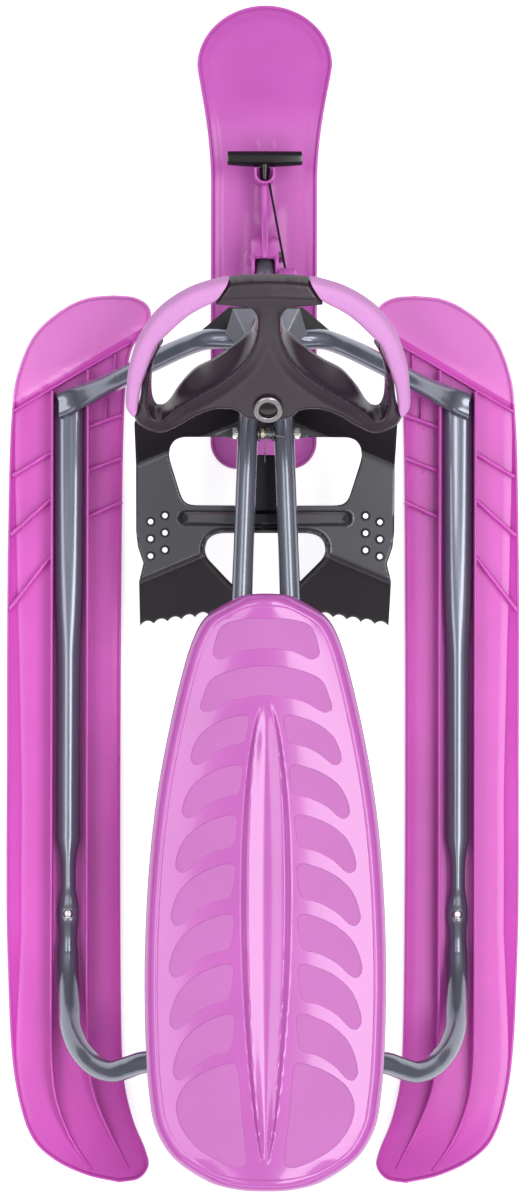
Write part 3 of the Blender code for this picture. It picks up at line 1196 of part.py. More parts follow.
def build_brake():
    """The brake plate with its windows, holes, bead and ears, its bolt, nuts, spacer and spring."""
    look = "black_paint"
    side = BRAKE_HALF_WIDTH + BRAKE_SPARE
    places = {"front": BRAKE_EDGE[0][1] - BRAKE_SPARE, "rear": BRAKE_CORNER[1] + BRAKE_SPARE}
    rows = []
    for place in ("front", "front_fold", "rear_fold", "rear"):
        row = []
        for x in (-side, 0.0, side):
            y = {**places, "rear_fold": rear_fold(x), "front_fold": front_fold(x)}[place]
            z = BRAKE_Z
            if place == "rear":
                z -= (y - rear_fold(x)) * BRAKE_REAR_SLOPE
            if place == "front":
                z += (front_fold(x) - y) * BRAKE_FRONT_SLOPE
            row.append((x, y, z))
        rows.append(row)
    sheet = grid_sheet("brake_plate", rows, BRAKE_SHEET, look)
    outline = both_sides([*BRAKE_EDGE, *tooth_edge()])
    holes = [both_sides(BRAKE_UPPER_WINDOW), both_sides(BRAKE_LOWER_WINDOW)]
    circle = np.linspace(0.0, 2 * math.pi, 8, endpoint=False)
    for row in range(3):
        for x, y in FOOT_HOLES:
            for way in (1.0, -1.0):
                centre = (way * x, y + row * FOOT_HOLE_STEP)
                holes.append([(centre[0] + FOOT_HOLE_RADIUS * math.cos(a),
                               centre[1] + FOOT_HOLE_RADIUS * math.sin(a))
                              for a in circle])
    stencil = plate("brake_outline", outline, 2 * BRAKE_Z, look, Matrix.Translation((0.0, 0.0, BRAKE_Z)), holes)
    combine(sheet, [stencil], "INTERSECT")
    bead_outline = [(BEAD_RADIUS * math.cos(a), BEAD_RADIUS * math.sin(a)) for a in np.linspace(0, math.pi, 9)]
    bead_outline = [(BEAD_Y + x, BRAKE_Z + BRAKE_SHEET / 2 + y) for x, y in bead_outline]
    bead = plate("brake_bead", bead_outline, 2 * BEAD_HALF_LENGTH, look, side_frame(0.0))
    ears = []
    lowest = BRAKE_Z + BRAKE_SHEET / 2
    for number, way in enumerate((1.0, -1.0)):
        outline = [(BRAKE_PIVOT[1] - 0.013, lowest), (BRAKE_PIVOT[1] + 0.004, lowest),
                   (BRAKE_PIVOT[1] + 0.0075, BRAKE_PIVOT[2]), (BRAKE_PIVOT[1] + 0.005, BRAKE_PIVOT[2] + 0.006),
                   (BRAKE_PIVOT[1] - 0.005, BRAKE_PIVOT[2] + 0.006), (BRAKE_PIVOT[1] - 0.0085, BRAKE_PIVOT[2])]
        ears.append(plate(f"brake_ear_{number}", outline, EAR_SHEET, look,
                          side_frame(way * (EAR_INNER_X + EAR_SHEET / 2))))
    join(sheet, bead, *ears)
    ear_bore = drum("ear_bore", BRAKE_PIVOT - np.array((0.02, 0.0, 0.0)), BRAKE_PIVOT + np.array((0.02, 0.0, 0.0)),
                    BRAKE_BOLT_RADIUS + GAP, look, SMALL_STEPS)
    cut(sheet, ear_bore)
    outside = beam_side(BRAKE_PIVOT_Y) + BEAM_RADIUS + GAP
    across = np.array((1.0, 0.0, 0.0))
    bolt("brake_bolt", BRAKE_PIVOT + across * outside, BRAKE_PIVOT - across * (outside + NUT_HEIGHT + BOLT_SPARE),
         BRAKE_BOLT_RADIUS, NUT_RADIUS, NUT_HEIGHT, "zinc")
    nut("brake_nut", BRAKE_PIVOT - across * outside, BRAKE_PIVOT - across * (outside + NUT_HEIGHT),
        BRAKE_BOLT_RADIUS, "zinc")
    spacer_frame = axis_frame(BRAKE_PIVOT, (1.0, 0.0, 0.0))
    inner = BRAKE_BOLT_RADIUS + GAP
    high = EAR_INNER_X - GAP
    turned("brake_spacer", ((inner, high), (SPACER_RADIUS, high), (SPACER_RADIUS, SPACER_END_X),
                            (inner, SPACER_END_X)),
           spacer_frame, "yellow_zinc", SMALL_STEPS)
    brake_spring()
    return sheet


def brake_spring():
    """The return spring: turns of wire round the bolt, a leg back onto the plate and a leg over the beam."""
    turns = np.linspace(0.0, SPRING_TURNS * 2 * math.pi, round(SPRING_TURNS * 10) + 1)
    start_x = SPACER_END_X - SPRING_WIRE - 0.0005
    coil = [BRAKE_PIVOT + np.array((start_x - SPRING_PITCH * a / (2 * math.pi), SPRING_RADIUS * math.sin(a),
                                    -SPRING_RADIUS * math.cos(a))) for a in turns]
    tongue_y = -0.1385
    tongue_z = BRAKE_Z + BRAKE_SHEET + SPRING_WIRE + GAP
    rear_leg = [(start_x, tongue_y + 0.004, tongue_z), (start_x, tongue_y - 0.001, tongue_z + 0.0008),
                (start_x, BRAKE_PIVOT[1] - 0.0020, BRAKE_PIVOT[2] - SPRING_RADIUS - 0.0012)]
    end = coil[-1]
    beam_top = beam_height(BRAKE_PIVOT_Y + 0.012) + BEAM_RADIUS + SPRING_WIRE + 0.0006
    front_leg = [(end[0], end[1] + 0.0006, end[2] + 0.0060), (end[0], end[1] + 0.006, beam_top + 0.0006),
                 (end[0] - 0.004, end[1] + 0.0075, beam_top + 0.0012),
                 (end[0] - 0.013, end[1] + 0.009, beam_top + 0.0012)]
    path = [np.array(point) for point in (*rear_leg, *coil, *front_leg)]
    print_least_gap("brake spring", np.array(path), 2 * SPRING_WIRE)
    return tube("brake_spring", path, SPRING_WIRE, "spring_steel", 1)


# Seat: half width at places along it
SEAT_HALF_WIDTHS = ((0.0, 0.0336), (0.0163, 0.0586), (0.0374, 0.0706), (0.0749, 0.0820), (0.1373, 0.0960),
                    (0.1958, 0.1060), (0.2554, 0.1123), (0.3200, 0.1158), (0.3800, 0.1166), (0.4454, 0.1147),
                    (0.4740, 0.1123), (0.5080, 0.1065), (0.5376, 0.0900), (0.5587, 0.0610))


def seat_half_width(y):
    """Half the seat's width at a place along it, rounded to nothing at both ends."""
    places = [row[0] for row in SEAT_HALF_WIDTHS]
    widths = [row[1] for row in SEAT_HALF_WIDTHS]
    if y < places[0]:
        share = (places[0] - y) / (places[0] - SEAT_FRONT_Y)
        return widths[0] * math.sqrt(max(0.0, 1.0 - share ** 2))
    if y > places[-1]:
        share = (y - places[-1]) / (SEAT_REAR_Y - places[-1])
        return widths[-1] * math.sqrt(max(0.0, 1.0 - share ** 2))
    return float(np.interp(y, places, widths))


def build_seat():
    """The seat shell with four bosses, the two plates it stands on and its screws."""
    look = "seat_plastic"
    middle = (SEAT_FRONT_Y + SEAT_REAR_Y) / 2
    reach = (SEAT_REAR_Y - SEAT_FRONT_Y) / 2
    angles = np.linspace(0.0, 2 * math.pi, 44, endpoint=False)
    edge = []
    for angle in angles:
        lengthwise = -math.cos(angle)
        y = middle + reach * math.copysign(abs(lengthwise) ** 0.8, lengthwise)
        edge.append(np.array((math.copysign(seat_half_width(y), math.sin(angle)), y)))
    levels = ((0.0, SEAT_RIDGE_HEIGHT), (0.07, SEAT_RIDGE_HEIGHT * 0.9), (0.16, 0.0), (0.40, 0.0), (0.66, -0.0015),
              (0.85, -0.0045), (0.96, -SEAT_EDGE_DROP), (1.0, -SEAT_EDGE_DROP - 0.006),
              (0.99, -SEAT_EDGE_DROP - SEAT_SKIRT))
    rings = []
    for share, drop in levels:
        ring = []
        for corner in edge:
            spine = np.array((0.0, middle + (corner[1] - middle) * 0.72))
            place = spine + (corner - spine) * share
            fade = min(1.0, max(0.0, (place[1] - 0.10) / 0.08)) if drop > 0 else 1.0
            ring.append((place[0], place[1], SEAT_CROWN_Z + drop * fade))
        rings.append(ring)
    count = len(edge)
    points = [point for ring in rings for point in ring]
    faces = []
    for row in range(len(rings) - 1):
        for column in range(count):
            after = (column + 1) % count
            low = row * count
            high = low + count
            faces.append((low + column, high + column, high + after, low + after))
    shell = mesh_part("seat_shell", points, faces, look, turn_outwards=False)
    wall = shell.modifiers.new("sheet", "SOLIDIFY")
    wall.thickness = SEAT_SHEET
    wall.offset = -1.0
    wall.use_even_offset = False
    plate_low = BEAM_BEND[2] + BEAM_RADIUS + GAP
    plate_high = plate_low + SEAT_PLATE_SHEET
    screw_number = 0
    bosses = []
    bores = []
    for name, y in (("seat_plate_front", SEAT_PLATE_FRONT_Y), ("seat_plate_rear", SEAT_PLATE_REAR_Y)):
        support = box(name, (-SEAT_PLATE_HALF_WIDTH, y - SEAT_PLATE_LENGTH / 2, plate_low),
                      (SEAT_PLATE_HALF_WIDTH, y + SEAT_PLATE_LENGTH / 2, plate_high), "grey_paint")
        for x in (SEAT_SCREW_X, -SEAT_SCREW_X):
            screw_number += 1
            boss_top = SEAT_CROWN_Z - 0.002
            bosses.append(drum(f"seat_boss_{screw_number}", (x, y, plate_high + GAP), (x, y, boss_top),
                               BOSS_OUTER_RADIUS, look, SMALL_STEPS))
            screw_top = boss_top - 0.004
            bores.append(drum(f"seat_bore_{screw_number}", (x, y, plate_high - 0.002), (x, y, screw_top + GAP),
                              SCREW_RADIUS + GAP, look, SMALL_STEPS))
            hole = drum(f"seat_plate_hole_{screw_number}", (x, y, plate_low - 0.01), (x, y, plate_high + 0.01),
                        SCREW_RADIUS + GAP, "grey_paint", SMALL_STEPS)
            cut(support, hole)
            bolt(f"seat_screw_{screw_number}", (x, y, plate_low - GAP), (x, y, screw_top), SCREW_RADIUS,
                 SCREW_HEAD_RADIUS, SCREW_HEAD_HEIGHT, "zinc")
    join(shell, *bosses)
    cut(shell, *bores)
    for number, side in enumerate((1.0, -1.0)):
        notch = tube(f"seat_notch_{number}", beam_route() * np.array((side, 1.0, 1.0)),
                     BEAM_RADIUS + SEAT_NOTCH_ROOM, look)
        cut(shell, as_mesh(notch))


def build():
    """Build the whole sled and hang its moving pieces on their joint axes."""
    build_frame()
    build_side_skis()
    build_seat()
    steering = hinge_empty("steering_axis", HUB, -COLUMN_DOWN)
    ski_hinge = hinge_empty("front_ski_axis", SKI_PIVOT, (1.0, 0.0, 0.0))
    reel_hinge = hinge_empty("reel_axis", (0.0, REEL_Y, REEL_Z), (1.0, 0.0, 0.0))
    rope_line = hinge_empty("rope_line", ROPE_FRONT, np.array(ROPE_FRONT) - np.array(ROPE_REAR))
    brake_hinge = hinge_empty("brake_axis", BRAKE_PIVOT, (-1.0, 0.0, 0.0))
    carry(steering, *build_column(), *build_wheel())
    ski = build_front_ski()
    reel = build_reel()
    carry(ski_hinge, ski, *build_pivot_pin(), *reel["ski"])
    carry(reel_hinge, *reel["spool"])
    carry(rope_line, *build_handle())
    carry(brake_hinge, build_brake())
    carry(steering, ski_hinge)
    carry(ski_hinge, reel_hinge, rope_line)
    datum = bpy.data.objects.new("datum", None)
    SLED.objects.link(datum)
    datum.location = (0.0, DATUM_Y, 0.0)
    for part in bpy.data.objects:
        if part.parent is None and part is not datum:
            part.parent = datum


build()
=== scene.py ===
"""Looks of the steering sled: its mouldings, tubes, wheel, seat, brake and small parts, with their finishes.

The sled faces -Y, the rider's left is +X and +Z is up. Sizes are in metres. Places along the sled are
written from a datum in front of the middle, and every mesh is moved there when it is made.
"""

import json
import logging
import math
from collections.abc import Sequence
from dataclasses import dataclass, field
from enum import Enum

import bmesh
import bpy
import numpy as np
from mathutils import Matrix
from numpy.typing import NDArray

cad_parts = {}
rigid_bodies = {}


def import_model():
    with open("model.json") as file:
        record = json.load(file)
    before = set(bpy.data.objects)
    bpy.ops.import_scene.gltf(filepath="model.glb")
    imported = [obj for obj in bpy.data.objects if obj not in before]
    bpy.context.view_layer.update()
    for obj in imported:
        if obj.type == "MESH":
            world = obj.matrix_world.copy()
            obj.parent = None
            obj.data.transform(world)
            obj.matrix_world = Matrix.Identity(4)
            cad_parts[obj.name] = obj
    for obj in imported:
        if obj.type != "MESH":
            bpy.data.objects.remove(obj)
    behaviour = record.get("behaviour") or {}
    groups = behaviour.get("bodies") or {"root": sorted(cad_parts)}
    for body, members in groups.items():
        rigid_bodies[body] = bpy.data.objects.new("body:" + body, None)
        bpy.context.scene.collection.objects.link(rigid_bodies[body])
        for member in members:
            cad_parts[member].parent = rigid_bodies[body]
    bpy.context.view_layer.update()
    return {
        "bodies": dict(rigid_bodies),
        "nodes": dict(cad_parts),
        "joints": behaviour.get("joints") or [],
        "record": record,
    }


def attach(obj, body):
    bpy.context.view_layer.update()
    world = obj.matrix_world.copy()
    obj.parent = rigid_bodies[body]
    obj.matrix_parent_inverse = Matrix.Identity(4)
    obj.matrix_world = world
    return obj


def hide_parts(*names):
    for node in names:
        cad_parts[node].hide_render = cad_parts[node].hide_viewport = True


Array = NDArray[np.float64]
Pair = tuple[float, float]
Pairs = tuple[Pair, ...]
Triple = tuple[float, float, float]
Item = bpy.types.Object
Socket = bpy.types.NodeSocket
NodeInput = Socket | float | tuple[float, ...]
LOG = logging.getLogger("steering_sled")
DATUM = np.array((0.0, 0.004, 0.0))
UP = np.array((0.0, 0.0, 1.0))
ACROSS = np.array((1.0, 0.0, 0.0))
ALONG = np.array((0.0, 1.0, 0.0))
TURN = 2.0 * math.pi


class Side(Enum):
    """The rider's side that a piece is on. Its value is the sign of X there."""

    LEFT = 1.0
    RIGHT = -1.0

    @property
    def word(self) -> str:
        """The side's name in lower case."""
        return self.name.lower()


class Pattern(Enum):
    """How a finish varies over a surface."""

    MOULDED = "slow cloudy change, fine grain"
    SPECKLED = "small pale specks in a soft surface"
    STREAKED = "long faint streaks in paint"
    PLATED = "small patches of bright metal"
    BRAIDED = "crossing strands, along the piece's UV map"
    # Past the fold the pink is painted paler: painted light and sheen on the side skis' upturned tips.
    FOLDED = "as moulded, and paler past the side skis' fold"


def linear(shade: Sequence[float]) -> tuple[float, float, float, float]:
    """Turn a display colour from 0 to 255 into linear light.

    Args:
        shade: Red, green and blue.

    Returns:
        Linear red, green, blue and an alpha of 1.
    """
    part = np.asarray(shade, dtype=float) / 255.0
    light = np.where(part <= 0.04045, part / 12.92, ((part + 0.055) / 1.055) ** 2.4)
    return (float(light[0]), float(light[1]), float(light[2]), 1.0)


SKI_FOLD = ((0.25, -0.188), (0.134, -0.256))
SKI_FOLD_NORMAL = (0.50572, -0.8627)
# The paler pink painted past the fold, and the distances past it over which it blends in: painted light and sheen on
# the side skis' sloped tips.
SKI_TIP_PAINTED_LIGHT = (238, 138, 222)
SKI_TIP_EDGE = (0.0064, 0.0074)
SKI_SCREW = (0.194, 0.313)
SKI_PIVOT = (-0.339976, 0.050586)
BRAKE_PIVOT = np.array((0.0, -0.162, 0.171279))
REEL_AXIS = (-0.302474, 0.084783)
RAKE = math.radians(32.0)
HUB = np.array((0.0, -0.181, 0.305))
DOWN_COLUMN = np.array((0.0, -math.sin(RAKE), -math.cos(RAKE)))
WHEEL_RIGHT = np.array((-1.0, 0.0, 0.0))
WHEEL_FORWARD = np.array((0.0, -math.cos(RAKE), math.sin(RAKE)))
WHEEL_FACE = -DOWN_COLUMN
NUT_SIZES = (0.0048, 0.0062, 0.0033)


class NodeGraph:
    """A node tree in the making."""

    def __init__(self, tree: bpy.types.NodeTree) -> None:
        """Hold the tree that the nodes go into."""
        self.tree = tree

    def feed(self, node: bpy.types.Node, inputs: dict[str | int, NodeInput]) -> None:
        """Link or set a node's inputs.

        Args:
            node: The node.
            inputs: For each input, a socket to link to it or a value to set on it.
        """
        for name, value in inputs.items():
            if isinstance(value, Socket):
                self.tree.links.new(value, node.inputs[name])
            else:
                node.inputs[name].default_value = value

    def node(self, kind: str, inputs: dict[str | int, NodeInput], **settings: str) -> bpy.types.Node:
        """Add a node.

        Args:
            kind: Its kind, without the first word that all share.
            inputs: For each input, a socket to link to it or a value to set on it.
            settings: Its own settings.

        Returns:
            The node.
        """
        made = self.tree.nodes.new("ShaderNode" + kind)
        for name, value in settings.items():
            setattr(made, name, value)
        self.feed(made, inputs)
        return made

    def math(self, operation: str, *values: NodeInput) -> Socket:
        """Add a Math node of the values, and give its result."""
        return self.node("Math", dict(enumerate(values)), operation=operation).outputs["Value"]

    def spread(self, value: NodeInput, start: Pair, end: Pair = (0.0, 1.0)) -> Socket:
        """Carry a value from one range to another.

        Args:
            value: The value.
            start: The range that it comes from.
            end: The range that it goes to.

        Returns:
            The socket with the result.
        """
        limits = dict(zip(("From Min", "From Max", "To Min", "To Max"), (*start, *end)))
        return self.node("MapRange", {"Value": value, **limits}).outputs["Result"]

    def mix(self, share: NodeInput, first: NodeInput, second: NodeInput) -> Socket:
        """Mix two colours by the second one's share, and give the result."""
        return self.node("Mix", {0: share, 6: first, 7: second}, data_type="RGBA").outputs[2]


@dataclass(frozen=True)
class Finish:
    """A surface finish, made of nodes.

    The colour changes slowly between two near shades by noise on Object coordinates, and a finer noise
    gives the grain as bump and a small change of roughness.
    """

    name: str
    slot: str
    shade: tuple[int, int, int]
    roughness: float
    metallic: float = 0.0
    coat: float = 0.0
    contrast: float = 0.05
    patch_scale: float = 14.0
    grain_scale: float = 900.0
    grain: float = 0.04
    pattern: Pattern = Pattern.MOULDED
    shine: float = 0.5

    def tint(self, share: float, lift: float = 0.0) -> tuple[float, ...]:
        """The shade in linear light, times a share and with a lift, held to 1."""
        return (*(min(1.0, share * part + lift) for part in linear(self.shade)[:3]), 1.0)

    def material(self) -> bpy.types.Material:
        """Make the material, or give the one made before.

        Returns:
            The finish's material.
        """
        known = bpy.data.materials.get(self.name)
        if known:
            return known
        material = bpy.data.materials.new(self.name)
        material.use_nodes = True
        graph = NodeGraph(material.node_tree)
        braided = self.pattern is Pattern.BRAIDED
        place = graph.node("TexCoord", {}).outputs["UV" if braided else "Object"]
        stretch = (1.0, 0.12, 1.0) if self.pattern is Pattern.STREAKED else (1.0, 1.0, 1.0)
        spot = graph.node("Mapping", {"Vector": place, "Scale": stretch}).outputs["Vector"]
        cloud = graph.node("TexNoise", {"Vector": spot, "Scale": self.patch_scale, "Detail": 4.0}).outputs["Fac"]
        shades = graph.node("ValToRGB", {"Fac": cloud})
        for stop, where, lean in zip(shades.color_ramp.elements, (0.3, 0.7), (-1.0, 1.0)):
            stop.position, stop.color = where, self.tint(1.0 + lean * self.contrast)
        grain = self._grain(graph, spot)
        colour = shades.outputs["Color"]
        if self.pattern is Pattern.SPECKLED:
            cells = graph.node("TexVoronoi", {"Vector": spot, "Scale": 420.0}).outputs["Distance"]
            colour = graph.mix(graph.spread(cells, (0.1, 0.32), (0.35, 0.0)), colour, self.tint(1.35, 0.04))
        # Past the side skis' fold the colour blends to a paler pink: painted light on the upturned tips.
        if self.pattern is Pattern.FOLDED:
            past = graph.spread(self._past_fold(graph, place), SKI_TIP_EDGE)
            colour = graph.mix(past, colour, linear(SKI_TIP_PAINTED_LIGHT))
        # Where braided, the colour darkens in the low parts between the strands, by the same waves that make the
        # bump: painted shade in the gaps.
        if braided:
            colour = graph.mix(grain, self.tint(0.35), colour)
        rough = (max(0.02, self.roughness - 0.05), min(1.0, self.roughness + 0.05))
        bump = graph.node("Bump", {"Strength": self.grain, "Distance": 0.0006 if braided else 0.0003,
                                   "Height": grain})
        graph.feed(material.node_tree.nodes["Principled BSDF"], {
            "Base Color": colour, "Roughness": graph.spread(cloud, (0.0, 1.0), rough), "Metallic": self.metallic,
            "Specular IOR Level": self.shine, "Coat Weight": self.coat, "Coat Roughness": 0.08,
            "Normal": bump.outputs["Normal"]})
        return material

    def _grain(self, graph: NodeGraph, spot: Socket) -> Socket:
        """Make the height that the bump reads: fine noise, or two crossing waves where it is braided.

        Args:
            graph: The material's nodes.
            spot: The socket with the coordinates.

        Returns:
            The socket with the height.
        """
        if self.pattern is not Pattern.BRAIDED:
            scales = {"Vector": spot, "Scale": self.grain_scale, "Detail": 2.0}
            return graph.node("TexNoise", scales).outputs["Fac"]
        waves = []
        for lean in (1.0, -1.0):
            turned = {"Vector": spot, "Rotation": (0.0, 0.0, lean * math.radians(45.0))}
            lay = graph.node("Mapping", turned).outputs["Vector"]
            waves.append(graph.node("TexWave", {"Vector": lay, "Scale": 1.3}).outputs["Fac"])
        return graph.math("MAXIMUM", *waves)

    @staticmethod
    def _past_fold(graph: NodeGraph, place: Socket) -> Socket:
        """Distance past the side skis' slanted fold: the plan place, X taken as positive, along its normal.

        Args:
            graph: The material's nodes.
            place: The socket with the Object coordinates.

        Returns:
            The socket with the distance.
        """
        across, along = SKI_FOLD_NORMAL
        start = -SKI_FOLD[0][0] * across - (SKI_FOLD[0][1] + DATUM[1]) * along
        parts = graph.node("SeparateXYZ", {"Vector": place}).outputs
        side = graph.math("MULTIPLY_ADD", graph.math("ABSOLUTE", parts["X"]), across, start)
        return graph.math("MULTIPLY_ADD", parts["Y"], along, side)


# The side skis' plastic, painted paler past the fold as painted light on the tips.
SKI_PLASTIC = Finish("side ski plastic", "pink_plastic", (213, 86, 194), 0.3, coat=0.15, contrast=0.05,
                     pattern=Pattern.FOLDED)
FRONT_PLASTIC = Finish("front ski plastic", "pink_plastic", (204, 94, 192), 0.36, coat=0.1, contrast=0.04)
SEAT_GLOSS = Finish("seat plastic", "seat_plastic", (193, 92, 184), 0.22, coat=0.6, contrast=0.04, grain=0.01)
SEAT_MATT = Finish("seat pad grain", "seat_plastic", (193, 108, 184), 0.6, contrast=0.03, grain=0.35,
                   grain_scale=1500.0)
GRIP_RUBBER = Finish("grip rubber", "pink_grip", (215, 149, 212), 0.62, contrast=0.03, grain=0.25,
                     grain_scale=1100.0, pattern=Pattern.SPECKLED)
WHEEL_PLASTIC = Finish("wheel plastic", "black_plastic", (48, 36, 47), 0.27, contrast=0.08, grain=0.1,
                       grain_scale=1300.0)
HANDLE_PLASTIC = Finish("handle plastic", "black_plastic", (20, 14, 20), 0.18, contrast=0.1, grain=0.04)
TUBE_PAINT = Finish("tube paint", "grey_paint", (114, 118, 132), 0.25, metallic=0.6, coat=0.8, contrast=0.08,
                    patch_scale=60.0, grain=0.03, pattern=Pattern.STREAKED)
BRACKET_PAINT = Finish("bracket paint", "grey_paint", (134, 136, 146), 0.3, metallic=0.4, coat=0.2,
                       contrast=0.08, pattern=Pattern.STREAKED)
BRAKE_PAINT = Finish("brake paint", "black_paint", (62, 60, 67), 0.27, metallic=0.25, coat=0.35, contrast=0.06,
                     grain=0.06)
# Near-black for the gusset plate and the rope's winding. On the gusset under the head bracket, the darkness is partly
# black paint and partly painted shade.
DARK_PAINT_AND_SHADE = Finish("gusset paint and painted shade", "black_paint", (24, 20, 25), 0.38, contrast=0.08, grain=0.1)
# Near-black given to the brake's sloped flaps, its tongue and its bead's ends: painted shade.
BRAKE_PAINTED_SHADE = Finish("brake painted shade", "black_paint", (22, 16, 24), 0.36, contrast=0.08, grain=0.06, shine=0.22)
BADGE_METAL = Finish("badge metal", "zinc", (150, 147, 148), 0.36, metallic=1.0, contrast=0.12, patch_scale=300.0)
BRIGHT_ZINC = Finish("bright zinc", "zinc", (214, 214, 210), 0.24, metallic=1.0, contrast=0.14, patch_scale=240.0,
                     grain=0.1, pattern=Pattern.PLATED)
YELLOW_ZINC = Finish("yellow zinc", "yellow_zinc", (205, 203, 165), 0.36, metallic=0.7, contrast=0.12,
                     patch_scale=200.0, pattern=Pattern.PLATED)
SPRING_WIRE = Finish("spring wire", "spring_steel", (150, 150, 152), 0.28, metallic=1.0, contrast=0.12,
                     patch_scale=300.0, pattern=Pattern.PLATED)
BUSH_PLASTIC = Finish("bush plastic", "white_plastic", (222, 222, 218), 0.45, contrast=0.03)
ROPE_BRAID = Finish("rope braid", "rope", (52, 34, 52), 0.8, contrast=0.1, patch_scale=3.0, grain=0.9,
                    pattern=Pattern.BRAIDED)


def route(controls: Sequence[Sequence[float]], count: int, closed: bool = False) -> Array:
    """Carry a smooth curve through control points, evenly spaced along its length.

    Between two controls the point is the centripetal Catmull-Rom cubic of the four controls around them:
    each control's knot is the last one's plus the root of their distance, and the curve's slope at a
    control is that of the parabola through it and its two neighbours.

    Args:
        controls: Points of two or three numbers.
        count: How many points to give.
        closed: Whether the curve comes back to its start, which is then not repeated.

    Returns:
        The points, one in each row.
    """
    knots = np.array(controls, dtype=float)
    if closed:
        ends = np.vstack((knots[-1:], knots, knots[:2]))
        spans = len(knots)
    else:
        ends = np.vstack((2 * knots[0] - knots[1], knots, 2 * knots[-1] - knots[-2]))
        spans = len(knots) - 1
    share = np.linspace(0.0, 1.0, 24, endpoint=False)[None, :, None]
    gaps = np.sqrt(np.maximum(np.linalg.norm(np.diff(ends, axis=0), axis=1), 1e-9))[:, None]
    slopes = np.diff(ends, axis=0) / gaps
    turns = (slopes[:-1] * gaps[1:] + slopes[1:] * gaps[:-1]) / (gaps[:-1] + gaps[1:])
    start, end, width = ends[1:spans + 1, None], ends[2:spans + 2, None], gaps[1:spans + 1, None]
    leave, reach = turns[:spans, None] * width, turns[1:spans + 1, None] * width
    dense = (start + leave * share + (3 * (end - start) - 2 * leave - reach) * share ** 2
             + (2 * (start - end) + leave + reach) * share ** 3)
    dense = np.vstack((dense.reshape(-1, knots.shape[1]), knots[:1] if closed else knots[-1:]))
    lengths = np.concatenate(([0.0], np.cumsum(np.linalg.norm(np.diff(dense, axis=0), axis=1))))
    wanted = np.linspace(0.0, lengths[-1], count, endpoint=not closed)
    return np.column_stack([np.interp(wanted, lengths, dense[:, axis]) for axis in range(knots.shape[1])])


def ease(share: Array | float) -> Array:
    """Smooth step: 0 below 0, 1 above 1 and level at both ends."""
    held = np.clip(share, 0.0, 1.0)
    return held * held * (3.0 - 2.0 * held)


def bell(distance: Array, width: float | Array) -> Array:
    """Bell curve over a distance: 1 at nought, and 1 over e at the width."""
    return np.exp(-(distance / width) ** 2)


def raised(plan: Array, height: Array) -> Array:
    """Plan points, with X and Y in their last axis, and a height for each as their Z."""
    return np.concatenate((plan, height[..., None]), axis=-1)


def gap_to(places: Array, line: Array, closed: bool = True) -> Array:
    """Distance from plan points to a polyline: the least distance to any of its segments.

    Args:
        places: Points with X and Y in their last axis.
        line: The polyline's points, X and Y.
        closed: Whether the last point joins the first.

    Returns:
        The distances, in the shape of the points.
    """
    flat = places.reshape(-1, 2)
    starts = line if closed else line[:-1]
    steps = (np.roll(line, -1, axis=0) if closed else line[1:]) - starts
    lengths = np.maximum((steps ** 2).sum(axis=1), 1e-18)
    blocks = []
    for block in np.array_split(flat, max(1, len(flat) // 2500)):
        offset = block[:, None, :] - starts[None]
        along = np.clip((offset * steps[None]).sum(axis=2) / lengths, 0.0, 1.0)
        blocks.append(np.sqrt(((offset - along[..., None] * steps[None]) ** 2).sum(axis=2).min(axis=1)))
    return np.concatenate(blocks).reshape(places.shape[:-1])


def nearest_on(places: Array, line: Array) -> tuple[Array, Array]:
    """The nearest points of a closed polyline to plan points.

    Args:
        places: Points, X and Y, one in each row.
        line: The closed polyline.

    Returns:
        The nearest points and their distances.
    """
    steps = np.roll(line, -1, axis=0) - line
    lengths = np.maximum((steps ** 2).sum(axis=1), 1e-18)
    offset = places[:, None, :] - line[None]
    along = np.clip((offset * steps[None]).sum(axis=2) / lengths, 0.0, 1.0)
    spots = line[None] + along[..., None] * steps[None]
    distance = np.linalg.norm(places[:, None, :] - spots, axis=2)
    best = distance.argmin(axis=1)
    rows = np.arange(len(places))
    return spots[rows, best], distance[rows, best]


def within(places: Array, line: Array) -> Array:
    """Whether plan points lie in a closed polyline, by the even or odd count of its edges to their right.

    Args:
        places: Points with X and Y in their last axis.
        line: The closed polyline.

    Returns:
        True where a point is inside.
    """
    x = places[..., 0]
    y = places[..., 1]
    inside = np.zeros(x.shape, dtype=bool)
    for start, end in zip(line, np.roll(line, -1, axis=0)):
        if start[1] == end[1]:
            continue
        spans = (start[1] > y) != (end[1] > y)
        cross = start[0] + (y - start[1]) * (end[0] - start[0]) / (end[1] - start[1])
        inside ^= spans & (x < cross)
    return inside


def inward_ways(line: Array) -> Array:
    """Unit ways into a closed plan outline: its run turned a quarter, towards the inside.

    Args:
        line: The outline's points, one in each row.

    Returns:
        One way for each point.
    """
    run = np.roll(line, -1, axis=0) - np.roll(line, 1, axis=0)
    turned = np.column_stack((-run[:, 1], run[:, 0])) / np.linalg.norm(run, axis=1)[:, None]
    area = 0.5 * np.sum(line[:, 0] * np.roll(line[:, 1], -1) - np.roll(line[:, 0], -1) * line[:, 1])
    return turned if area > 0 else -turned


def run_frames(path: Array, guide: Array) -> tuple[Array, Array, Array]:
    """Unit axes at each place of a path: along it, the guide squared up to that, and across both.

    Args:
        path: Places, one in each row.
        guide: The direction that the second axis leans to.

    Returns:
        The way along, the rise and the way across, each with a row for each place.
    """
    way = np.gradient(path, axis=0)
    way /= np.linalg.norm(way, axis=1)[:, None]
    rise = guide - way * (way @ guide)[:, None]
    rise /= np.linalg.norm(rise, axis=1)[:, None]
    return way, rise, np.cross(way, rise)


def spokes(axis: Array, angle: Array) -> Array:
    """Unit directions square to an axis: cosine of the angle on one, and sine on the next.

    Args:
        axis: The unit axis.
        angle: The angles.

    Returns:
        The directions, one in each row.
    """
    first = np.cross(axis, UP if abs(axis[2]) < 0.9 else ACROSS)
    first /= np.linalg.norm(first)
    return np.cos(angle)[:, None] * first + np.sin(angle)[:, None] * np.cross(axis, first)


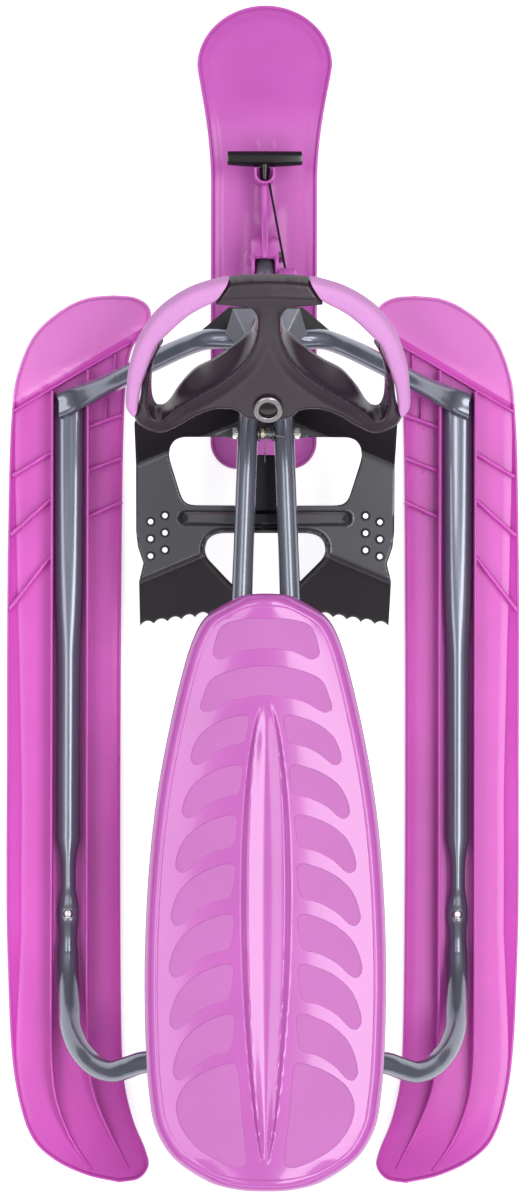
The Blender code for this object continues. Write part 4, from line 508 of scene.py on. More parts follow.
class Shell:
    """A mesh in the making: grids and caps gathered into one piece."""

    def __init__(self, name: str) -> None:
        """Start an empty piece.

        Args:
            name: The piece's name.
        """
        self.name = name.replace(" ", "-")
        self.points: list[Array] = []
        self.faces: list[tuple[int, ...]] = []
        self.maps: list[Array] = []
        self.count = 0

    def add(self, points: Array, faces: Array, chart: Array | None = None) -> None:
        """Add points and faces that number them from nought.

        Args:
            points: One point in each row.
            faces: Corner numbers, one face in each row.
            chart: UV places of the points, or none.
        """
        self.faces.extend(map(tuple, (np.asarray(faces) + self.count).tolist()))
        self.points.append(points)
        self.maps.append(np.zeros((len(points), 2)) if chart is None else chart)
        self.count += len(points)

    def grid(self, points: Array, rows_close: bool = False, columns_close: bool = False,
             chart: Array | None = None) -> None:
        """Add a grid of points as quads between neighbouring rows and columns.

        Args:
            points: Rows by columns by three.
            rows_close: Whether the last row joins the first.
            columns_close: Whether the last column joins the first.
            chart: UV places, rows by columns by two.
        """
        rows, columns = points.shape[:2]
        numbers = np.arange(rows * columns).reshape(rows, columns)
        if rows_close:
            numbers = np.vstack((numbers, numbers[:1]))
        if columns_close:
            numbers = np.hstack((numbers, numbers[:, :1]))
        quads = np.stack((numbers[:-1, :-1], numbers[:-1, 1:], numbers[1:, 1:], numbers[1:, :-1]), axis=-1)
        self.add(points.reshape(-1, 3), quads.reshape(-1, 4),
                 None if chart is None else chart.reshape(-1, 2))

    def cap(self, ring: Array) -> None:
        """Close a ring of points with one flat face."""
        self.add(ring, np.arange(len(ring))[None])

    def sweep(self, path: Array, section: Array, guide: Array, ends: str = "flat",
              chart: Pair | None = None) -> None:
        """Carry a section along a path.

        At each place the section's second axis points as near to the guide as the path lets it, and its
        first axis is across both.

        Args:
            path: Places, one in each row.
            section: Section points, count by two, or a section for each place.
            guide: The direction that the section's second axis leans to.
            ends: "flat", "round" or "open".
            chart: How many turns of the UV map go round and along, or none.
        """
        way, rise, cross = run_frames(path, guide)
        shapes = np.broadcast_to(section, (len(path), *section.shape[-2:]))
        if ends == "round":
            reach = float(np.abs(section).max())
            turn = np.linspace(math.pi / 2, 0.0, 5)[:-1]
            for last, step in ((0, -1.0), (-1, 1.0)):
                extra = path[last] + step * reach * np.sin(turn)[:, None] * way[last]
                scales = np.maximum(np.cos(turn), 0.02)[:, None, None] * shapes[last][None]
                copies = [np.repeat(part[last][None], 4, axis=0) for part in (rise, cross)]
                if last == 0:
                    path, shapes = np.vstack((extra, path)), np.concatenate((scales, shapes))
                    rise, cross = np.vstack((copies[0], rise)), np.vstack((copies[1], cross))
                else:
                    path, shapes = np.vstack((path, extra[::-1])), np.concatenate((shapes, scales[::-1]))
                    rise, cross = np.vstack((rise, copies[0])), np.vstack((cross, copies[1]))
                way = np.vstack((way[:1],) * 4 + (way,)) if last == 0 else np.vstack((way,) + (way[-1:],) * 4)
        points = path[:, None] + shapes[..., :1] * cross[:, None] + shapes[..., 1:] * rise[:, None]
        places = None
        if chart:
            run = np.concatenate(([0.0], np.cumsum(np.linalg.norm(np.diff(path, axis=0), axis=1))))
            around = np.linspace(0.0, chart[0], shapes.shape[1], endpoint=False)
            places = np.stack(np.meshgrid(around, run * chart[1]), axis=-1)
        self.grid(points, columns_close=True, chart=places)
        if ends != "open":
            self.cap(points[0])
            self.cap(points[-1])

    def pipe(self, path: Array, half_widths: Array, half_heights: Array, guide: Array, wall: float = 0.0013,
             sides: int = 36, cut: Array | None = None, groove: Array | None = None) -> None:
        """Carry an open oval tube along a path, with its wall and bore.

        The section is an ellipse of the half width and half height. A groove lowers its top along the
        middle by a bell curve.

        Args:
            path: Places, one in each row.
            half_widths: Half width at each place.
            half_heights: Half height at each place.
            guide: The direction that the height leans to.
            wall: Thickness of the wall.
            sides: Points round the section.
            cut: Normal of the plane that cuts the first end, or none for a square end.
            groove: Depth of the groove at each place, or none.
        """
        way, rise, cross = run_frames(path, guide)
        angle = np.linspace(0.0, TURN, sides, endpoint=False)[None]
        rings = []
        for thick in (0.0, wall):
            wide = (half_widths - thick)[:, None] * np.cos(angle)
            high = (half_heights - thick)[:, None] * np.sin(angle)
            if groove is not None:
                share = bell(wide, 0.36 * half_widths[:, None])
                high = high - np.where(high > 0, groove[:, None] * share, 0.0)
            ring = path[:, None] + wide[..., None] * cross[:, None] + high[..., None] * rise[:, None]
            if cut is not None:
                ring[0] -= way[0] * ((ring[0] - path[0]) @ cut / (way[0] @ cut))[:, None]
            rings.append(ring)
        self.grid(np.concatenate((rings[0], rings[1][::-1])), rows_close=True, columns_close=True)

    def turned(self, profile: Sequence[Sequence[float]], origin: Array, axis: Array, steps: int = 48) -> None:
        """Turn a profile of (radius, height) round an axis: a point goes round a circle of its radius.

        Args:
            profile: Radius and height pairs. The shape is closed where they start and end on the axis.
            origin: Where height 0 is.
            axis: Unit direction of the height.
            steps: Points round the axis.
        """
        shape = np.array(profile, dtype=float)
        spoke = spokes(axis, np.linspace(0.0, TURN, steps, endpoint=False))
        points = origin + shape[:, None, 1:] * axis + shape[:, None, :1] * spoke[None]
        self.grid(points, rows_close=shape[0, 0] > 0, columns_close=True)

    def slab(self, outline: Array, thickness: float, rounding: float, origin: Array, first: Array,
             second: Array) -> None:
        """Thicken a flat outline both ways and round its edges.

        The edge follows a quarter circle: at height h from the rounding's start the outline has moved in
        by the rounding less the cosine part.

        Args:
            outline: Plan points, in order.
            thickness: Whole thickness.
            rounding: Radius of the edges.
            origin: Where the outline's origin is.
            first: Direction of the outline's first axis.
            second: Direction of its second axis.
        """
        inward = inward_ways(outline)
        turn = np.linspace(0.0, math.pi / 2, 4)
        inset = rounding * (1.0 - np.sin(turn))
        level = thickness / 2 - rounding + rounding * np.cos(turn)
        insets = np.concatenate((inset, inset[::-1]))
        levels = np.concatenate((level, -level[::-1]))
        flat = outline[None] + insets[:, None, None] * inward[None]
        points = (origin + flat[..., :1] * first + flat[..., 1:] * second
                  + levels[:, None, None] * np.cross(first, second))
        self.grid(points, columns_close=True)
        self.cap(points[0])
        self.cap(points[-1])

    def skin(self, top: Array, bottom: Array) -> None:
        """Close a top grid of rings and a bottom grid of rings into one body. Ring 0 is the outside.

        Args:
            top: Rings by points by three, from the rim inwards.
            bottom: The same for the underside.
        """
        self.grid(np.concatenate((bottom[::-1], top)), columns_close=True)

    def single(self, finish: Finish, body: str, angle: float = 30.0) -> Item:
        """Make the object as piece does, to stand for the CAD node of its own name."""
        return self.piece(finish, body, (self.name.replace("-", "_"),), angle)

    def piece(self, finish: Finish, body: str, replaces: Sequence[str] = (), angle: float = 40.0) -> Item:
        """Make the object, dress it and hang it on its CAD body.

        Args:
            finish: The surface finish.
            body: The CAD body that it moves with.
            replaces: CAD nodes that it stands for.
            angle: Edges sharper than this stay sharp, in degrees.

        Returns:
            The finished object.
        """
        mesh = bpy.data.meshes.new(self.name)
        points = np.concatenate(self.points) + DATUM
        mesh.from_pydata(points.tolist(), [], self.faces)
        chart = np.concatenate(self.maps)
        if chart.any():
            layer = mesh.uv_layers.new(name="UVMap")
            corners = np.zeros(len(mesh.loops), dtype=np.int64)
            mesh.loops.foreach_get("vertex_index", corners)
            layer.data.foreach_set("uv", chart[corners].astype(np.float32).ravel())
        edit = bmesh.new()
        edit.from_mesh(mesh)
        bmesh.ops.remove_doubles(edit, verts=edit.verts, dist=0.000002)
        bmesh.ops.dissolve_degenerate(edit, edges=edit.edges, dist=0.000001)
        bmesh.ops.recalc_face_normals(edit, faces=edit.faces)
        edit.to_mesh(mesh)
        edit.free()
        mesh.shade_smooth()
        mesh.set_sharp_from_angle(angle=math.radians(angle))
        mesh.materials.append(finish.material())
        item = bpy.data.objects.new(self.name, mesh)
        bpy.context.scene.collection.objects.link(item)
        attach(item, body)
        if replaces:
            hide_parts(*replaces)
        LOG.info("%s: %d points, rides on %s", self.name, len(mesh.vertices), body)
        return item


@dataclass
class Stencil:
    """A sheet cut to outlines: a square grid whose edge points are moved onto the nearest outline."""

    outside: Array
    windows: list[Array]
    pitch: float = 0.0012

    def lay(self) -> tuple[Array, Array, Array]:
        """Lay the grid out.

        A cell is kept where its middle is in the outside and in no window. A grid point that belongs to a
        kept cell and to one left out moves to the nearest point of the outlines.

        Returns:
            Plan points, faces of the kept cells, and the edges along the outlines.
        """
        low = self.outside.min(axis=0) - 2 * self.pitch
        high = self.outside.max(axis=0) + 2 * self.pitch
        across, along = (np.arange(a, b, self.pitch) for a, b in zip(low, high))
        points = np.stack(np.meshgrid(across, along, indexing="ij"), axis=-1)
        middles = points[:-1, :-1] + self.pitch / 2
        keep = within(middles, self.outside)
        for window in self.windows:
            keep &= ~within(middles, window)
        numbers = np.arange(points.shape[0] * points.shape[1]).reshape(points.shape[:2])
        padded = np.pad(keep, 1)
        around = np.stack((padded[:-1, :-1], padded[1:, :-1], padded[:-1, 1:], padded[1:, 1:]))
        border = around.any(axis=0) & ~around.all(axis=0)
        flat = points.reshape(-1, 2)
        rim = np.flatnonzero(border.ravel())
        spots, distance = nearest_on(flat[rim], self.outside)
        for window in self.windows:
            other, further = nearest_on(flat[rim], window)
            closer = further < distance
            spots[closer], distance[closer] = other[closer], further[closer]
        flat[rim] = spots
        corners = (numbers[:-1, :-1], numbers[1:, :-1], numbers[1:, 1:], numbers[:-1, 1:])
        faces = np.stack([corner[keep] for corner in corners], axis=-1)
        upright = padded[1:-1, :-1] != padded[1:-1, 1:]
        level = padded[:-1, 1:-1] != padded[1:, 1:-1]
        edges = np.vstack((np.column_stack((numbers[:-1][upright], numbers[1:][upright])),
                           np.column_stack((numbers[:, :-1][level], numbers[:, 1:][level]))))
        used, packed = np.unique(faces, return_inverse=True)
        table = np.zeros(len(flat), dtype=int)
        table[used] = np.arange(len(used))
        return flat[used], packed.reshape(faces.shape), table[edges]


def face_middles(item: Item) -> Array:
    """The middles of a piece's faces, measured from the datum.

    Args:
        item: The piece.

    Returns:
        One place for each face.
    """
    centres = np.zeros(len(item.data.polygons) * 3)
    item.data.polygons.foreach_get("center", centres)
    return centres.reshape(-1, 3) - DATUM


def paint_faces(item: Item, finish: Finish, chosen: Array) -> None:
    """Give some of a piece's faces a second finish.

    Args:
        item: The piece.
        finish: The second finish.
        chosen: Which faces take it, as true and false.
    """
    item.data.materials.append(finish.material())
    item.data.polygons.foreach_set("material_index", chosen.astype(np.int32))


def rounded_drop(gap: Array, radius: float) -> Array:
    """How far a rounded edge falls at a distance from it: radius less the height of its quarter circle."""
    return radius - np.sqrt(np.maximum(0.0, radius ** 2 - (radius - np.minimum(gap, radius)) ** 2))


def add_stencil(shell: Shell, faces: Array, edges: Array, top: Array, bottom: Array) -> None:
    """Add a stencil's top, underside and walls to a piece.

    Args:
        shell: The piece.
        faces: Faces of the plan.
        edges: Edges along the outlines.
        top: The stencil's points, on the top.
        bottom: Their places on the underside.
    """
    count = len(top)
    walls = np.column_stack((edges[:, 0], edges[:, 1], edges[:, 1] + count, edges[:, 0] + count))
    shell.add(np.vstack((top, bottom)), np.vstack((faces, faces[:, ::-1] + count, walls)))


def arc(start: float, end: float, count: int, closed: bool = False) -> Array:
    """Points of the unit circle between two angles, without the last where it is closed."""
    angle = np.linspace(start, end, count, endpoint=not closed)
    return np.column_stack((np.cos(angle), np.sin(angle)))


def oval(half_width: float, half_height: float, sides: int = 24, power: float = 2.0) -> Array:
    """Section points of a rounded box: cosine and sine, each raised to 2 over the power, with their signs.

    Args:
        half_width: Half the width.
        half_height: Half the height.
        sides: How many points.
        power: 2 is an ellipse, and more is squarer.

    Returns:
        The points, one in each row.
    """
    circle = arc(0.0, TURN, sides, closed=True)
    return np.sign(circle) * np.abs(circle) ** (2 / power) * (half_width, half_height)


@dataclass
class Ring:
    """Rings of plan points that run from a closed outline to its spine.

    Ring k is the outline moved in by its depth. Past the last depth the rings share out the way to the
    spine.
    """

    outline: Array
    spine: Array
    depths: Array
    steps: int = 8

    def plan(self) -> Array:
        """The rings' plan points, rings by points by two.

        Returns:
            The points.
        """
        inward = inward_ways(self.outline)
        depths = self.depths if self.depths.ndim == 2 else self.depths[:, None]
        near = self.outline[None] + depths[..., None] * inward[None]
        share = (np.arange(1, self.steps + 1) / self.steps)[:, None, None]
        return np.concatenate((near, near[-1:] + (self.spine - near[-1])[None] * share))


def wall_section(thickness: float, height: float, draft: float = 0.0006) -> Array:
    """Section of an upright rib that is thicker at its foot and round on top, from 3 mm under its foot.

    Args:
        thickness: Thickness at the top.
        height: Height over the foot.
        draft: How much wider each side is at the foot.

    Returns:
        The section's points.
    """
    half = thickness / 2
    crown = (0.0, height - half) + half * arc(0.0, math.pi, 7)
    foot = np.array(((half + draft, -0.003), (half + draft, 0.0)))
    return np.vstack((foot, crown, foot[::-1] * (-1.0, 1.0)))


@dataclass
class SideSki:
    """A side ski: a floor with a folded-up tip and rising tail, its rim, channel walls and bulkheads."""

    side: Side
    floor_sheet: float = 0.005
    rim_height: float = 0.006
    rim_width: float = 0.0024
    strip_least: float = 0.0032
    edge_lift: float = 0.0012
    wall_top: float = 0.033
    wall_least: float = 0.002
    wall_sheet: float = 0.0024
    tip_slope: float = math.tan(math.radians(33.0))
    tip_rounding: float = 0.012
    tail_rise: float = 0.04
    tail_start: float = 0.44
    tail_end: float = 0.578
    outer: Pairs = (
        (0.15, -0.303), (0.175, -0.3), (0.197, -0.2905), (0.228, -0.264), (0.2465, -0.222),
        (0.2515, -0.185), (0.255, -0.064), (0.2557, 0.15), (0.2545, 0.361), (0.246, 0.484),
        (0.229, 0.536), (0.208, 0.556), (0.175, 0.571), (0.142, 0.578))
    inner: Pairs = (
        (0.15, -0.303), (0.128, -0.301), (0.116, -0.294), (0.1125, -0.284), (0.119, -0.268),
        (0.131, -0.252), (0.137, -0.22), (0.14, -0.16), (0.14, 0.45), (0.137, 0.485),
        (0.128, 0.52), (0.116, 0.548), (0.113, 0.562), (0.122, 0.574), (0.142, 0.578))
    strip: Pairs = (
        (-0.2, 0.0028), (-0.15, 0.005), (-0.06, 0.0085), (0.05, 0.012), (0.2, 0.015), (0.33, 0.0145),
        (0.4, 0.009), (0.45, 0.0045), (0.48, 0.003))
    walls: tuple[Pairs, ...] = (
        ((0.2108, -0.208), (0.2108, -0.05), (0.2108, 0.15), (0.2108, 0.33), (0.2106, 0.42),
         (0.2094, 0.469), (0.2044, 0.501), (0.1885, 0.54), (0.169, 0.567)),
        ((0.1752, -0.229), (0.1752, -0.05), (0.1752, 0.15), (0.1752, 0.32), (0.175, 0.415),
         (0.1735, 0.456), (0.1688, 0.4885), (0.153, 0.528), (0.1335, 0.565)))
    bulkheads: tuple[tuple[Pair, Pair], ...] = (
        ((0.2505, -0.1235), (0.211, -0.1475)), ((0.2522, -0.0645), (0.211, -0.1015)),
        ((0.2535, 0.01), (0.211, -0.045)), ((0.175, -0.1725), (0.141, -0.185)),
        ((0.175, -0.129), (0.141, -0.142)), ((0.175, -0.083), (0.141, -0.0985)))
    bulkhead: Pair = (0.0042, 0.0105)
    ribs: tuple[tuple[tuple[Pair, Pair], float, float], ...] = (
        (SKI_FOLD, 0.0026, 0.01), (((0.1575, -0.201), (0.1575, -0.1775)), 0.0018, 0.01),
        (((0.1485, -0.245), (0.1485, -0.229)), 0.0018, 0.011))

    def beyond(self, x: Array, y: Array) -> Array:
        """Distance in front of the slanted fold: the plan place against the fold's unit normal."""
        return (x - SKI_FOLD[0][0]) * SKI_FOLD_NORMAL[0] + (y - SKI_FOLD[0][1]) * SKI_FOLD_NORMAL[1]

    def floor(self, x: Array, y: Array) -> Array:
        """Underside height: a slope past the fold with a round corner, and a tail that rises as a square.

        Args:
            x: Distances from the middle line.
            y: Places along the sled.

        Returns:
            The heights.
        """
        ahead = np.maximum(0.0, self.beyond(x, y))
        tip = self.tip_slope * (np.hypot(ahead, self.tip_rounding) - self.tip_rounding)
        behind = np.clip((y - self.tail_start) / (self.tail_end - self.tail_start), 0.0, 1.1)
        return tip + self.tail_rise * behind ** 2

    def _path(self, plan: Array) -> Array:
        """Lift plan points onto the floor and turn them to this side.

        Args:
            plan: Plan points, with X and Y in their last axis.

        Returns:
            The points in space.
        """
        height = self.floor(plan[..., 0], plan[..., 1]) + self.floor_sheet
        points = raised(plan, height)
        points[..., 0] *= self.side.value
        return points

    def _sheet(self, shell: Shell) -> None:
        """Add the floor with its rim, from rings of the outline.

        The rim's height falls from its rounded top to nought across the strip behind it, which is wide on
        the outer side and narrow elsewhere.

        Args:
            shell: The ski's piece.
        """
        count, held_front, held_rear = 330, 14, 12
        outer, inner = route(self.outer, count), route(self.inner, count)
        outline = np.vstack((outer[:-1], inner[::-1][:-1]))
        middle = (outer + inner) / 2
        keep = np.clip(np.arange(count), held_front, count - held_rear)
        spine = np.vstack((middle[keep][:-1], middle[keep][::-1][:-1]))
        places, widths = (np.array(column) for column in zip(*self.strip))
        width = np.full(len(outline), self.strip_least)
        along = np.interp(outer[:-1, 1], places, widths, left=0.0, right=0.0)
        width[:count - 1] = np.maximum(self.strip_least, along)
        lip = np.array((0.0, 0.0003, 0.0007, 0.0013, 0.0018, self.rim_width - 0.0002, self.rim_width + 0.0002))
        share = np.array((0.25, 0.5, 0.75, 0.93, 1.0))
        depths = np.vstack((np.broadcast_to(lip[:, None], (len(lip), len(width))),
                            lip[-1] + (width - lip[-1])[None] * share[:, None], width[None] + 0.0009,
                            width[None] + 0.003))
        rings = Ring(outline, spine, depths, 8).plan()
        levels = np.array((0.62, 0.84, 0.95, 1.0, 1.0, 0.94, 0.8, 0.6, 0.4, 0.2, 0.05, -0.06, -0.06, 0.0,
                           *([0.0] * 8))) * self.rim_height
        top = self._path(rings)
        top[..., 2] += levels[:, None] + self._tip_band(rings)
        bottom = self._path(np.concatenate((rings[:1], rings[2:3], rings[5:])))
        bottom[..., 2] -= self.floor_sheet
        bottom[0, :, 2] += self.edge_lift
        shell.skin(top, bottom)

    def _tip_band(self, plan: Array) -> Array:
        """Height of the small step and the bead in front of the fold, over the distance past it.

        Args:
            plan: Plan points, with X and Y in their last axis.

        Returns:
            The heights over the floor.
        """
        ahead = self.beyond(plan[..., 0], plan[..., 1])
        bead_height, bead_place, bead_width = 0.0012, 0.0068, 0.0009
        step_height, step_start, step_end, step_slope = 0.0007, 0.0005, 0.0066, 0.001
        shelf = ease((ahead - step_start) / step_slope) - ease((ahead - step_end) / step_slope)
        return bead_height * bell(ahead - bead_place, bead_width) + step_height * shelf

    def build(self) -> Item:
        """Build the whole ski.

        Returns:
            The ski's object.
        """
        shell = Shell(f"side ski {self.side.word}")
        self._sheet(shell)
        for line in self.walls:
            path = self._path(route(line, 160))
            height = np.maximum(self.wall_least, self.wall_top - path[:, 2])
            sections = np.stack([wall_section(self.wall_sheet, 1.0)] * len(path))
            sections[..., 1] = np.where(sections[..., 1] > 0.5, height[:, None] - (1.0 - sections[..., 1]),
                                        sections[..., 1])
            shell.sweep(path, sections, UP)
        for ends, thick, height in (*((ends, *self.bulkhead) for ends in self.bulkheads), *self.ribs):
            shell.sweep(self._path(np.linspace(ends[0], ends[1], 24)), wall_section(thick, height), UP)
        for y in (-0.098, -0.141, -0.184):
            shell.turned(((0.0, 0.0006), (0.0011, 0.0006), (0.0016, 0.0), (0.0016, -0.001), (0.0, -0.001)),
                         self._path(np.array((0.16, y + 0.012))), UP, 12)
        shell.turned(((0.0085, -0.001), (0.0085, 0.0002), (0.008, 0.0006), (0.0, 0.0006), (0.0, -0.001)),
                     np.array((self.side.value * SKI_SCREW[0], SKI_SCREW[1], self.floor_sheet - 0.0004)), UP, 32)
        return shell.single(SKI_PLASTIC, "frame", 32.0)


@dataclass
class SideRail:
    """A side rail: squeezed to an oval in the ski, flat at its screw, then round, up and in under the seat."""

    side: Side
    ski_top: float = 0.0053
    radius: float = 0.011
    mitre: float = 0.586
    squeeze: tuple[tuple[float, float, float, float], ...] = (
        (-0.209, 0.0146, 0.0052, 0.0004), (-0.18, 0.0146, 0.0066, 0.0012), (-0.13, 0.0146, 0.0078, 0.0013),
        (-0.08, 0.0145, 0.0084, 0.0012), (-0.04, 0.0144, 0.0088, 0.0009), (-0.01, 0.0141, 0.0092, 0.0006),
        (0.015, 0.0134, 0.0097, 0.0004), (0.035, 0.0124, 0.0103, 0.0002), (0.055, 0.0118, 0.0106, 0.0),
        (0.08, 0.0117, 0.0106, 0.0), (0.225, 0.0117, 0.0106, 0.0), (0.238, 0.012, 0.0104, 0.0),
        (0.246, 0.0104, 0.0107, 0.0), (0.256, 0.0085, 0.0109, 0.0), (0.27, 0.0077, 0.0108, 0.0),
        (0.288, 0.0078, 0.0104, 0.0), (0.298, 0.0094, 0.008, 0.0), (0.305, 0.0104, 0.0062, 0.0),
        (0.313, 0.0107, 0.0058, 0.0), (0.321, 0.0103, 0.0062, 0.0), (0.329, 0.0094, 0.0082, 0.0),
        (0.34, 0.0092, 0.0102, 0.0), (0.352, 0.0104, 0.011, 0.0))
    bend: tuple[Triple, ...] = (
        (0.1937, 0.372, 0.024), (0.1918, 0.4046, 0.05), (0.1906, 0.4203, 0.066), (0.1859, 0.4339, 0.083),
        (0.1778, 0.4464, 0.1), (0.1638, 0.4579, 0.117), (0.148, 0.4612, 0.132), (0.1323, 0.456, 0.145),
        (0.1177, 0.4505, 0.156), (0.085, 0.448, 0.172), (0.05, 0.448, 0.1827), (0.026, 0.448, 0.1837),
        (0.0002, 0.448, 0.1837))

    def build(self) -> Item:
        """Build the rail, with its sizes eased from mark to mark.

        Returns:
            The rail's object.
        """
        places = np.linspace(self.squeeze[0][0], self.squeeze[-1][0], 230)
        marks = np.array(self.squeeze)
        table = np.column_stack([places] + [np.interp(places, marks[:, 0], marks[:, column]) for column in (1, 2, 3)])
        for _ in range(2):
            table[1:-1, 1:] = (table[:-2, 1:] + 2 * table[1:-1, 1:] + table[2:, 1:]) / 4
        straight = np.column_stack((np.full(len(table), SKI_SCREW[0]), table[:, 0], self.ski_top + table[:, 2]))
        curve = route([straight[-1], *self.bend], 130)
        path = np.vstack((straight, curve[1:]))
        path[:, 0] *= self.side.value
        share = ease(np.linspace(0.0, 6.0, len(curve) - 1))
        wide = np.concatenate((table[:, 1], table[-1, 1] + (self.radius - table[-1, 1]) * share))
        high = np.concatenate((table[:, 2], np.full(len(curve) - 1, self.radius)))
        groove = np.concatenate((table[:, 3], np.zeros(len(curve) - 1)))
        shell = Shell(f"side rail {self.side.word}")
        shell.pipe(path, wide, high, UP, cut=ALONG - ACROSS * self.side.value * self.mitre,
                   groove=groove)
        return shell.single(TUBE_PAINT, "frame", 50.0)


@dataclass
class CrossTube:
    """A cross tube: flattened over the rail's front end, then round up to the head."""

    side: Side
    radius: float = 0.01
    spread: float = 0.0022
    crush: float = 0.0052
    crease: float = 0.0014
    line: tuple[Triple, ...] = (
        (0.204, -0.1935, 0.0238), (0.191, -0.199, 0.0268), (0.175, -0.2052, 0.0385), (0.1385, -0.221, 0.074),
        (0.111, -0.234, 0.1), (0.076, -0.249, 0.131), (0.056, -0.2545, 0.147), (0.038, -0.2545, 0.152),
        (0.0165, -0.2545, 0.152))

    def build(self) -> Item:
        """Build the tube with its flattened, grooved end.

        Returns:
            The tube's object.
        """
        path = route(self.line, 110)
        path[:, 0] *= self.side.value
        flat = 1.0 - ease(np.linspace(0.0, 2.9, len(path)))
        shell = Shell(f"cross tube {self.side.word}")
        shell.pipe(path, self.radius + self.spread * flat, self.radius - self.crush * flat, UP, cut=ACROSS,
                   groove=self.crease * flat)
        return shell.single(TUBE_PAINT, "frame", 50.0)


@dataclass
class MainBeam:
    """A main beam, from the head back and up, then level under the seat."""

    side: Side
    radius: float = 0.01
    front: Triple = (0.0145, -0.2433, 0.157)
    bend: Triple = (0.0245, 0.03, 0.205)
    bend_shares: Pair = (0.1, 0.06)
    rear_y: float = 0.4585

    def build(self) -> Item:
        """Build the beam with a soft bend of 60 mm.

        Returns:
            The beam's object.
        """
        front, bend = np.array(self.front), np.array(self.bend)
        rear = np.array((self.bend[0], self.rear_y, self.bend[2]))
        (ahead, behind), hold, pull = self.bend_shares, 0.42, 0.05
        first = np.linspace(front, bend + (front - bend) * ahead, 20)
        last = np.linspace(bend + (rear - bend) * behind, rear, 20)
        turn = route((first[-1], bend + (first[-1] - bend) * hold + (last[0] - bend) * pull,
                      bend + (last[0] - bend) * hold, last[0]), 12)
        path = np.vstack((first, turn[1:-1], last))
        path[:, 0] *= self.side.value
        shell = Shell(f"main beam {self.side.word}")
        size = np.full(len(path), self.radius)
        shell.pipe(path, size, size, UP)
        return shell.single(TUBE_PAINT, "frame", 50.0)


def on_column(distance: float, across: float = 0.0) -> Array:
    """The point at a distance down the steering axis from the hub's face, moved across to the left."""
    return HUB + DOWN_COLUMN * distance + ACROSS * across


@dataclass
class Head:
    """The frame's head: its tube, the folded bracket and the column that turns in it, with its collars."""

    top: float = 0.125
    length: float = 0.087
    radius: float = 0.016
    bracket_top: float = 0.176
    bracket_drop: float = 0.011
    bracket_slope: float = 0.7
    bracket_sheet: float = 0.003
    fold_rounding: float = 0.0008
    bracket_half: Pairs = (
        (0.0, -0.2828), (0.0326, -0.2828), (0.0396, -0.2592), (0.0304, -0.25), (0.0225, -0.2475), (0.0, -0.2475))
    folds: tuple[Pair, Pair] = ((0.0322, -0.2828), (0.019, -0.256))
    column_radius: float = 0.009

    def bracket(self) -> Item:
        """Build the folded bracket: level in the middle, with a flap that falls beyond a slanted fold.

        The flap's height falls by the slope times the distance past the fold, rounded at the fold.

        Returns:
            The bracket's object.
        """
        outline = refined(mirrored_outline(self.bracket_half), 0.002)
        plan, faces, edges = Stencil(outline, [], 0.001).lay()
        start, end = np.array(self.folds)
        way = (end - start) / np.linalg.norm(end - start)
        past = (np.abs(plan[:, 0]) - start[0]) * way[1] - (plan[:, 1] - start[1]) * way[0]
        rounding = self.fold_rounding
        fall = self.bracket_slope * (np.hypot(np.maximum(0.0, past + 0.0005), rounding) - rounding)
        low = self.bracket_top - np.minimum(fall, self.bracket_drop)
        shell = Shell("head bracket")
        add_stencil(shell, faces, edges, raised(plan, low + self.bracket_sheet), raised(plan, low))
        return shell.single(BRACKET_PAINT, "frame", 25.0)

    def tube(self) -> Item:
        """Build the head tube with its bevelled ends.

        Returns:
            The tube's object.
        """
        shell = Shell("head tube")
        low, high = -self.top - self.length, -self.top
        bore = self.column_radius + 0.0024
        shell.turned(((bore, high), (self.radius - 0.0006, high), (self.radius, high - 0.0006),
                      (self.radius, low + 0.0006), (self.radius - 0.0006, low), (bore, low)), HUB, WHEEL_FACE)
        return shell.single(TUBE_PAINT, "frame", 40.0)

    def column(self) -> list[Item]:
        """Build the steering column and its two collars.

        Returns:
            The objects.
        """
        made = []
        shell = Shell("steering column")
        bore = self.column_radius - 0.0015
        shell.turned(((bore, -0.014), (self.column_radius - 0.0005, -0.014), (self.column_radius, -0.0145),
                      (self.column_radius, -0.3105), (self.column_radius - 0.0005, -0.311), (bore, -0.311)),
                     HUB, WHEEL_FACE)
        made.append(shell.single(BRACKET_PAINT, "steering", 40.0))
        for name, low in (("collar_upper", -0.1224), ("collar_lower", -0.2206)):
            shell = Shell(name.replace("_", " "))
            inner, outer = self.column_radius + 0.0003, 0.0135
            shell.turned(((inner, low + 0.006), (outer - 0.0007, low + 0.006), (outer, low + 0.0053),
                          (outer, low + 0.0007), (outer - 0.0007, low), (inner, low)), HUB, WHEEL_FACE)
            made.append(shell.piece(BRACKET_PAINT, "steering", (name,)))
        return made


def mirrored_outline(half: Sequence[Sequence[float]]) -> Array:
    """A closed outline from its left half, whose first and last points lie on the middle line."""
    shape = np.array(half, dtype=float)
    return np.vstack((shape, shape[-2:0:-1] * (-1.0, 1.0)))


def refined(line: Array, pitch: float = 0.0015) -> Array:
    """Split a closed outline's straight edges so that none is longer than the pitch.

    Args:
        line: The outline's points.
        pitch: The longest edge that may stay.

    Returns:
        The outline with more points.
    """
    pieces = []
    for start, end in zip(line, np.roll(line, -1, axis=0)):
        count = max(1, math.ceil(float(np.linalg.norm(end - start)) / pitch))
        pieces.append(start + (end - start) * np.arange(count)[:, None] / count)
    return np.vstack(pieces)


def softened(line: Array, reach: int) -> Array:
    """Round a closed outline's corners: each point becomes the mean of those up to the reach before and after."""
    return np.mean([np.roll(line, shift, axis=0) for shift in range(-reach, reach + 1)], axis=0)


